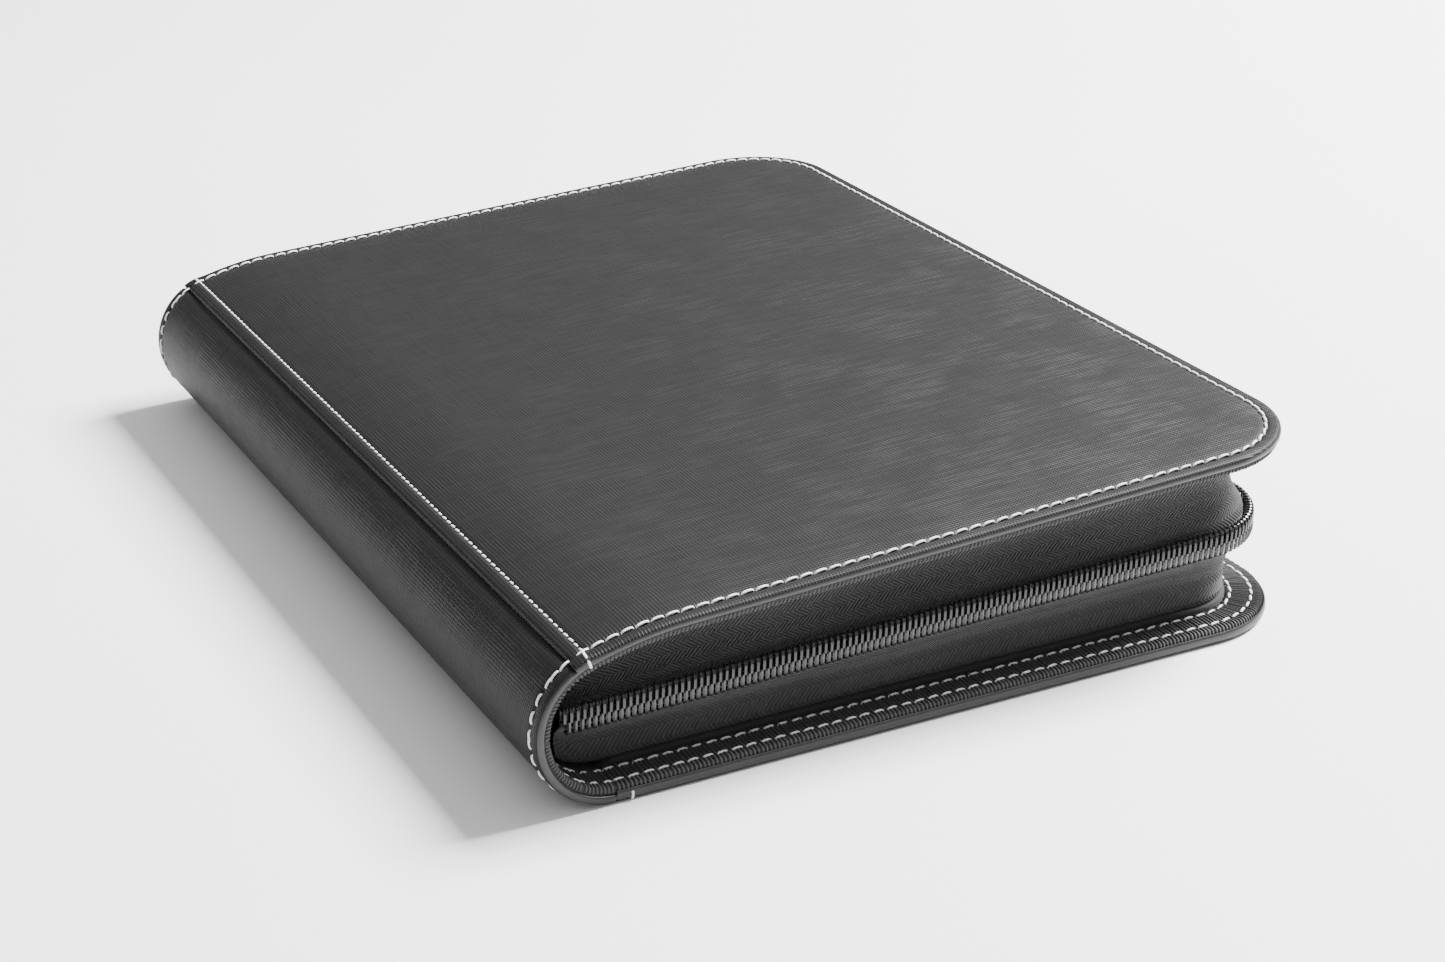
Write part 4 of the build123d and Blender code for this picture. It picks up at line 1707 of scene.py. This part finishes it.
    def _ends(self, span: SpineSpan, wardrobe: Wardrobe, repeater: Repeater) -> list[bpy.types.Object]:
        """Builds the bound ends and their stitches for one span.

        Args:
            span: the stretch of spine.
            wardrobe: the binder's finishes.
            repeater: makes the repeated shapes.

        Returns:
            The bindings, the ribs and the two sets of stitches.
        """
        s, binding = self.shell, Binding(self.shell, Side.FRONT, 0.0)
        contour, skin = np.array(binding.contour()), Skin()
        along = np.linspace(span.first, span.last, max(6, int((span.last - span.first) / self.step) + 1))
        for sign in (-1, 1):
            y = sign * (s.half_length - contour[:, 0])
            points = s.place(along[:, None], y[None, :], contour[None, :, 1])
            marks = np.stack(
                np.broadcast_arrays(along[:, None], contour[None, :, 0], contour[None, :, 1]), -1
            )
            rows = skin.add(points, marks)
            skin.quads(rows, closed=True)
            skin.polygon(rows[0])
            skin.polygon(rows[-1])
        band = skin.build(f"{span.name}_end_bindings", wardrobe.binding)
        path = [(0.0, i - binding.inset, -d) for i, d in binding.contour()[1:-1]]
        rib = tube("rib_shape", path, binding.rib_width, binding.rib, (1.0, 0.0, 0.0), 5)
        lines = [self._end_line(span, near, binding.inset, 0.0) for near in (True, False)]
        ribs = repeater.run(
            f"{span.name}_end_ribs", lines, rib, binding.rib_pitch, wardrobe.rib, 0.02, seed=3
        )
        lines = [self._end_line(span, near, *self.top_stitch) for near in (True, False)]
        stitches = repeater.run(
            f"{span.name}_end_stitches", lines, stitch_shape(self.top_stitch_length),
            self.stitch_pitch * 0.98, wardrobe.thread, unevenness=0.04, seed=5,
        )
        lines = []
        for inset in binding.stitch_insets:
            for near in (True, False):
                points, heading, up = self._end_line(span, near, inset, binding.inner - 0.02)
                lines.append((points, -heading, -up))
        inner = repeater.run(
            f"{span.name}_inner_stitches", lines, stitch_shape(self.inner_stitch_length),
            self.inner_stitch_pitch, wardrobe.thread, unevenness=0.04, seed=6,
        )
        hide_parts(*(f"{n}_end_bindings" for n in span.nodes))
        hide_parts(*(f"{n}_end_stitches" for n in span.nodes))
        return [band, ribs, stitches, inner]


# ---------------------------------------------------------------- zip


@dataclass
class ZipHalf:
    """One half of the zip: a herringbone tape that hangs from a cover's binding, and its coil teeth."""

    shell: Shell
    side: Side
    left: float = -91.3
    tilt: float = 1.45
    chain_inset: float = 5.7  # middle of the coil
    tape_inset: float = 6.9
    binding_depth: float = 3.8
    cloth: float = 0.6
    pitch: float = 1.5
    closed: float = 0.0  # heads from the line where the halves meet
    parted: float = 1.2
    throat: tuple[float, float] = (-59.5, -55.5)

    def _middle(self, x: np.ndarray) -> np.ndarray:
        """Height of the line where the halves meet.

        Args:
            x: plan X, in millimetres.

        Returns:
            The heights.
        """
        lo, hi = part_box("zip_slider")
        slider_x, slider_z = (lo.x + hi.x) / 2 / MM, (lo.z + hi.z) / 2 / MM
        return slider_z + (x - slider_x) * math.tan(math.radians(self.tilt))

    def _binding_z(self, x: np.ndarray) -> np.ndarray:
        """Height of the binding's inner face.

        Args:
            x: plan X, in millimetres.

        Returns:
            The heights.
        """
        s = self.shell
        quarter = s.spine_along(90.0)
        end = s.along_at(s.half_width, self.side) + (8 if self.side is Side.FRONT else -8)
        along = np.linspace(quarter, end, 900)
        points = s.place(along, 0.0, self.binding_depth)
        order = np.argsort(points[:, 0])
        return np.interp(x, points[order, 0], points[order, 2])

    def _gap(self, plan: np.ndarray) -> np.ndarray:
        """How far the teeth stand from the meeting line: parted between the slider and the spine.

        Args:
            plan: plan points.

        Returns:
            The distances.
        """
        start, end = self.throat
        share = np.clip((end - plan[:, 0]) / (end - start), 0, 1) * (plan[:, 1] > 0)
        return self.closed + (self.parted - self.closed) * share

    def _tape(self, wardrobe: Wardrobe) -> bpy.types.Object:
        """Builds the tape.

        Args:
            wardrobe: the binder's finishes.

        Returns:
            The tape.
        """
        outline, skin = Outline(self.shell, self.left, 1.6), Skin()
        sign = 1 if self.side is Side.BACK else -1
        shape = [
            (12.2, 0.0, 0.9), (11.4, 0.0, 0.95), (10.8, 0.0, 1.1), (10.6, 0.05, 1.2), (10.95, 0.16, 1.0),
            (11.3, 0.3, 0.7), (11.1, 0.45, 0.4), (10.2, 0.6, 0.1), (8.8, 0.72, 0.0), (7.65, 0.8, 0.0),
            (7.2, 0.87, 0.0), (7.2, 0.94, 0.0), (7.2, 1.0, 0.0),
        ]
        middle = self._middle(outline.free_edge(self.tape_inset, self.left)[:, 0])
        rows_out, rows_in, marks = [], [], []
        for inset, rise, lift in shape:
            slack = math.sin(math.pi * min(rise / 0.8, 1.0))
            plan = outline.free_edge(inset, self.left)
            walked = np.concatenate([[0], np.cumsum(np.linalg.norm(np.diff(plan, axis=0), axis=1))])
            phase = 0.0 if self.side is Side.BACK else 1.7
            wave = 0.45 * np.sin(walked / 17.0 + phase) + 0.3 * np.sin(walked / 7.3 + 2.1 * phase)
            inward = outline.free_edge(inset + 1.0, self.left) - plan
            inward /= np.linalg.norm(inward, axis=1)[:, None]
            plan = plan + inward * (wave * slack)[:, None]
            foot = self._binding_z(plan[:, 0]) + sign * lift
            meet = middle - sign * (0.25 + self._gap(plan))
            z = foot + (meet - foot) * rise
            rows_out.append(np.stack([plan[:, 0], plan[:, 1], z], 1))
            back = plan + inward * self.cloth
            rows_in.append(
                np.stack([back[:, 0], back[:, 1], z - sign * (self.cloth if rise == 0 else 0.0)], 1)
            )
            height = np.abs(z - foot) + abs(shape[0][0] - inset)
            marks.append(np.stack([walked, height, np.full_like(z, inset)], 1))
        grid = np.array(rows_out + rows_in[::-1]).swapaxes(0, 1)
        rows = skin.add(grid, np.array(marks + marks[::-1]).swapaxes(0, 1))
        skin.quads(rows, closed=True)
        count = len(shape)
        for end in (rows[0], rows[-1]):
            for i in range(count - 1):
                skin.polygon([end[i], end[i + 1], end[-2 - i], end[-1 - i]])
        return skin.build(f"{self._name()}_zip_tape_cloth", wardrobe.tape)

    def _teeth(self, wardrobe: Wardrobe, repeater: Repeater) -> bpy.types.Object:
        """Builds the row of coil teeth.

        Args:
            wardrobe: the binder's finishes.
            repeater: makes the repeated shapes.

        Returns:
            The teeth.
        """
        up = 1.0 if self.side is Side.FRONT else -1.0
        plan = Outline(self.shell, self.left, 0.6).free_edge(self.chain_inset, self.left)
        outer = Outline(self.shell, self.left, 0.6).free_edge(self.chain_inset - 1.0, self.left)
        start = 1 if self.side is Side.BACK else 0
        z = self._middle(plan[:, 0]) + up * self._gap(plan)
        points = np.stack([plan[:, 0], plan[:, 1], z], 1)
        outward = np.zeros_like(points)
        outward[:, :2] = outer - plan
        outward /= np.linalg.norm(outward, axis=1)[:, None]
        away = np.broadcast_to((0.0, 0.0, up), points.shape)
        if start:
            heading = points[8] - points[0]
            half = points[0] + heading / np.linalg.norm(heading) * self.pitch / 2
            walked = np.concatenate([[0], np.cumsum(np.linalg.norm(np.diff(points, axis=0), axis=1))])
            keep = walked > self.pitch / 2
            points = np.concatenate([half[None], points[keep]])
            outward = np.concatenate([outward[:1], outward[keep]])
            away = np.concatenate([away[:1], away[keep]])
        turn = [
            (0.16, 2.5, -0.78), (0.12, 2.86, -0.42), (0.08, 2.92, 0.1), (0.04, 2.7, 0.62), (0.0, 2.1, 0.84),
            (-0.04, 0.9, 0.86), (-0.07, 0.1, 0.82), (-0.1, -0.18, 0.3),
            (-0.12, -0.12, -0.3), (-0.14, 0.5, -0.78),
            (-0.16, 2.3, -0.8),
        ]
        tooth = tube("tooth_shape", turn, 0.98, 0.74, (1.0, 0.0, 0.0), 5)
        line = (points, np.cross(away, outward), outward)
        return repeater.run(
            f"{self._name()}_zip_teeth", [line], tooth, self.pitch, wardrobe.coil, 0.01, seed=11
        )

    def _name(self) -> str:
        """This half's name."""
        return "lower" if self.side is Side.BACK else "upper"

    def build(self, wardrobe: Wardrobe, repeater: Repeater) -> list[bpy.types.Object]:
        """Builds the tape and the teeth.

        Args:
            wardrobe: the binder's finishes.
            repeater: makes the repeated shapes.

        Returns:
            Both pieces.
        """
        tape, teeth = self._tape(wardrobe), self._teeth(wardrobe, repeater)
        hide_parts(f"{self._name()}_zip_tape")
        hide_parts(f"{self._name()}_zip_coil")
        for piece, slot in ((tape, "zip_tape"), (teeth, "zip_teeth")):
            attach(piece, self.side.value)
        return [tape, teeth]


# ---------------------------------------------------------------- pages


@dataclass
class Pages:
    """Ten cloth pages with clear pockets on both faces."""

    count: int = 10
    pitch: float = 2.4
    root_x: float = -90.4
    root_z: float = 18.0
    tilt: float = 2.9
    width: float = 175.0
    length: float = 222.0
    corner: float = 4.0
    cloth: float = 0.5
    root: float = 0.3
    margin: float = 16.0
    pocket: tuple[float, float] = (78.5, 108.5)
    pocket_gap: float = 1.0
    film: float = 0.2
    pocket_height: float = 0.63
    weld: float = 1.5

    def _place(self, index: int, u: np.ndarray, v: np.ndarray, w: np.ndarray) -> np.ndarray:
        """Points of a page: u out from its fold, v along the spine, w off its middle.

        Args:
            index: the page's number, from 0.
            u: distance out from the fold.
            v: distance along the spine.
            w: distance off the page's middle.

        Returns:
            The points.
        """
        tilt = math.radians(self.tilt * (index + 1) / (self.count + 1))
        z = self.root_z + (index - (self.count - 1) / 2) * self.pitch
        share = np.clip(u / self.width, 0, 1) ** 2
        wave = 0.14 * share * np.sin(v / 31.0 + index * 1.9) * np.cos(u / 43.0 + index)
        w = w + wave
        x = self.root_x + u * math.cos(tilt) - w * math.sin(tilt)
        return np.stack([x, v, z + u * math.sin(tilt) + w * math.cos(tilt)], -1)

    def _cloth(self, index: int, wardrobe: Wardrobe) -> bpy.types.Object:
        """Builds one page's cloth.

        Args:
            index: the page's number, from 0.
            wardrobe: the binder's finishes.

        Returns:
            The cloth.
        """
        skin = Skin()
        u1, v1, r = self.width, self.length / 2, self.corner
        arc = np.linspace(-math.pi / 2, 0, 7)
        corner = np.stack([u1 - r + r * np.cos(arc), -v1 + r + r * np.sin(arc)], 1)
        bottom = np.stack([np.linspace(-self.root, u1 - r - 5, 30), np.full(30, -v1)], 1)
        fore = np.stack([np.full(35, u1), np.linspace(-v1 + r + 5, v1 - r - 5, 35)], 1)
        back = np.stack([np.full(36, -self.root), np.linspace(v1 - 5, -v1 + 5, 36)], 1)
        half = np.concatenate([bottom, corner])
        loop = np.concatenate([half, fore, half[::-1] * (1, -1), back])
        grid = np.stack(
            np.meshgrid(np.arange(4.5, u1 - 3, 5.0), np.arange(-v1 + 4, v1 - 3, 5.0), indexing="ij"), -1
        )
        plan, triangles = fill_plan(loop, grid.reshape(-1, 2))
        for w in (self.cloth / 2, -self.cloth / 2):
            marks = np.stack([plan[:, 0], plan[:, 1], 0 * plan[:, 0]], -1)
            numbers = skin.add(self._place(index, plan[:, 0], plan[:, 1], w), marks)
            for triangle in triangles:
                skin.polygon(numbers[triangle])
        walls = [self._place(index, loop[:, 0], loop[:, 1], w) for w in (self.cloth / 2, -self.cloth / 2)]
        marks = np.stack([loop[:, 0], loop[:, 1], 0 * loop[:, 0]], -1)
        skin.quads(skin.add(np.array(walls), np.array([marks, marks])), closed=True)
        return skin.build(f"page_{index + 1:02d}_cloth", wardrobe.page)

    def _films(self, index: int, wardrobe: Wardrobe) -> bpy.types.Object:
        """Builds one page's eight clear pockets, welded on three sides and open towards the spine.

        Args:
            index: the page's number, from 0.
            wardrobe: the binder's finishes.

        Returns:
            The pockets.
        """
        skin = Skin()
        wide, long = self.pocket
        edge = [0.0, 0.7, self.weld, self.weld + 0.5, self.weld + 1.2, self.weld + 3.0]
        u = np.array([0.0, 0.4, 2.0, 6.0, *np.linspace(12, wide - 10, 9), *(wide - e for e in edge[::-1])])
        v = np.array([*edge, *np.linspace(10, long - 10, 12), *(long - e for e in edge[::-1])])
        gu, gv = np.meshgrid(u, v, indexing="ij")
        rim = np.minimum(np.minimum(gv, long - gv), wide - gu)
        rise = np.clip((rim - self.weld) / 1.4, 0, 1)
        rise = rise * rise * (3 - 2 * rise)
        base = 0.24
        height = base + (self.pocket_height - base) * rise
        for side in (-1, 1):
            for column in range(2):
                for row in range(2):
                    pu = gu + self.margin + self.pocket_gap / 2 + column * (wide + self.pocket_gap)
                    pv = gv + (row - 1) * (long + self.pocket_gap) + self.pocket_gap / 2
                    sheets = []
                    for drop in (0.0, self.film):
                        points = self._place(index, pu, pv, side * (self.cloth / 2 + height - drop))
                        sheets.append(skin.add(points, np.zeros(3)))
                        skin.quads(sheets[-1])
                    for a, b in zip(self._rim(sheets[0]), self._rim(sheets[1])):
                        skin.quads(np.stack([a, b]))
        return skin.build(f"page_{index + 1:02d}_clear_pockets", wardrobe.film)

    @staticmethod
    def _rim(rows: np.ndarray) -> list[np.ndarray]:
        """The four sides of a grid of point numbers."""
        return [rows[0], rows[-1], rows[:, 0], rows[:, -1]]

    def build(self, wardrobe: Wardrobe) -> list[bpy.types.Object]:
        """Builds every page's cloth and pockets.

        Args:
            wardrobe: the binder's finishes.

        Returns:
            The pieces.
        """
        made = []
        for index in range(self.count):
            body = f"page_{index + 1:02d}"
            cloth, films = self._cloth(index, wardrobe), self._films(index, wardrobe)
            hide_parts(f"{body}_backing")
            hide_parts(f"{body}_pockets")
            for piece, slot in ((cloth, "page_cloth"), (films, "clear_film")):
                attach(piece, body)
            flat = ((self.width + self.root) * MM, self.length * MM)
            made += [cloth, films]
        return made


# ---------------------------------------------------------------- studio


@dataclass
class Studio:
    """A pale floor, a soft room, a window high on the right, and the camera."""

    eye: tuple[float, float, float] = (-288.15, -568.6, 287.0)  # millimetres
    azimuth: float = -27.75  # degrees
    elevation: float = 23.81  # degrees
    lens: float = 66.88
    horizon: float = 0.22  # brightness of the room near the floor
    zenith: float = 1.1  # and overhead
    window: tuple[float, float, float] = (1.1, 0.05, 1.3)  # metres
    window_size: float = 0.7  # metres
    window_power: float = 175.0  # watts
    floor_reach: float = 40.0  # metres from the middle to a side

    def build(self) -> None:
        """Makes the floor, the lights and the camera."""
        scene = bpy.context.scene
        mesh = bpy.data.meshes.new("floor")
        size = self.floor_reach
        mesh.from_pydata(
            [(-size, -size, 0), (size, -size, 0), (size, size, 0), (-size, size, 0)], [], [(0, 1, 2, 3)]
        )
        floor = bpy.data.objects.new("floor", mesh)
        floor.location.z = -0.0002
        scene.collection.objects.link(floor)
        n = Nodes("pale_floor")
        place = n.object_mm()
        cloudy = n.noise(place, 0.004, 2.0)
        shade = n.blend(cloudy, (0.86, 0.86, 0.865), (0.9, 0.9, 0.9))
        mesh.materials.append(n.done(base_color=shade, roughness=0.55 + 0.1 * cloudy))
        world = bpy.data.worlds.new("soft_room")
        scene.world = world
        world.use_nodes = True
        self._sky(world.node_tree)
        self._lamp("window", self.window, (0.0, 0.0, 0.0), self.window_size, self.window_power)
        camera = bpy.data.objects.new("camera", bpy.data.cameras.new("camera"))
        scene.collection.objects.link(camera)
        camera.data.sensor_width = 36.0
        camera.data.lens = self.lens
        camera.data.clip_start, camera.data.clip_end = 0.01, 100.0
        camera.location = Vector(self.eye) * MM
        turn, lift = math.radians(self.azimuth), math.radians(self.elevation)
        back = Vector((math.sin(turn) * math.cos(lift), -math.cos(turn) * math.cos(lift), math.sin(lift)))
        camera.rotation_mode = "QUATERNION"
        camera.rotation_quaternion = (-back).to_track_quat("-Z", "Y")
        scene.camera = camera

    def _sky(self, tree: bpy.types.NodeTree) -> None:
        """Makes the room bright overhead and dimmer near the floor.

        Args:
            tree: the world's nodes.
        """
        place = tree.nodes.new("ShaderNodeTexCoord")
        split = tree.nodes.new("ShaderNodeSeparateXYZ")
        rise = tree.nodes.new("ShaderNodeMapRange")
        rise.inputs["From Min"].default_value, rise.inputs["From Max"].default_value = 0.0, 1.0
        rise.inputs["To Min"].default_value, rise.inputs["To Max"].default_value = self.horizon, self.zenith
        tree.links.new(place.outputs["Generated"], split.inputs[0])
        tree.links.new(split.outputs["Z"], rise.inputs["Value"])
        tree.links.new(rise.outputs[0], tree.nodes["Background"].inputs["Strength"])
        tree.nodes["Background"].inputs["Color"].default_value = (1.0, 1.0, 1.0, 1.0)

    def _lamp(
        self, name: str, place: Sequence[float], target: Sequence[float], size: float, power: float
    ) -> None:
        """Adds a square soft light that faces a point.

        Args:
            name: its name.
            place: where it is, in metres.
            target: what it faces.
            size: its side, in metres.
            power: in watts.
        """
        data = bpy.data.lights.new(name, "AREA")
        data.size, data.energy = size, power
        lamp = bpy.data.objects.new(name, data)
        bpy.context.scene.collection.objects.link(lamp)
        lamp.location = place
        lamp.rotation_mode = "QUATERNION"
        lamp.rotation_quaternion = (Vector(target) - Vector(place)).to_track_quat("-Z", "Y")


def dress_frame(wardrobe: Wardrobe) -> None:
    """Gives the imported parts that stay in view, or inside the covers, their finishes.

    Args:
        wardrobe: the binder's finishes.
    """
    finishes = {
        "zip_slider": wardrobe.metal, "zip_puller": wardrobe.metal, "page_strip": wardrobe.strip,
        "front_cover_board": wardrobe.board, "back_cover_board": wardrobe.board,
    }
    for node, finish in finishes.items():
        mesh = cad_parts[node].data
        mesh.materials.clear()
        mesh.materials.append(finish)


def main() -> None:
    """Builds the binder's looks and the studio."""
    logging.basicConfig(level=logging.INFO, format="%(name)s: %(message)s")
    shell, wardrobe = Shell(), Wardrobe()
    fold_x = shell.spine_x - shell.spine_radius * math.sin(math.radians(Spine.fold_angle))
    pad = PadCloth(shell, fold_x)
    pad.simulate()
    repeater = Repeater()
    leathers = [
        CoverLeather(shell, Side.FRONT, fold_x, pad, rise=0.35, fold_rise=0.45, seam=3.77),
        CoverLeather(shell, Side.BACK, shell.spine_x, None, rise=0.0, fold_rise=0.0, seam=4.0, lip=2.7),
    ]
    pieces = [leather.build(wardrobe) for leather in leathers]
    lining_lefts = (fold_x + 6.3, shell.spine_x + 2.8)  # where each meets the spine's lining
    for leather, lining_left in zip(leathers, lining_lefts):
        pieces += CoverStitching(shell, leather.side, leather.left, leather).build(wardrobe, repeater)
        pieces += Binding(shell, leather.side, leather.left).build(wardrobe, repeater)
        pieces.append(CoverLining(shell, leather.side, lining_left).build(wardrobe))
    pieces += Spine(shell).build(wardrobe, repeater)
    for side in Side:
        pieces += ZipHalf(shell, side).build(wardrobe, repeater)
    pieces += Pages().build(wardrobe)
    dress_frame(wardrobe)
    for piece in pieces:
        log.info("%s: %d faces", piece.name, len(piece.data.polygons))
    Studio().build()


if __name__ == "__main__":
    main()
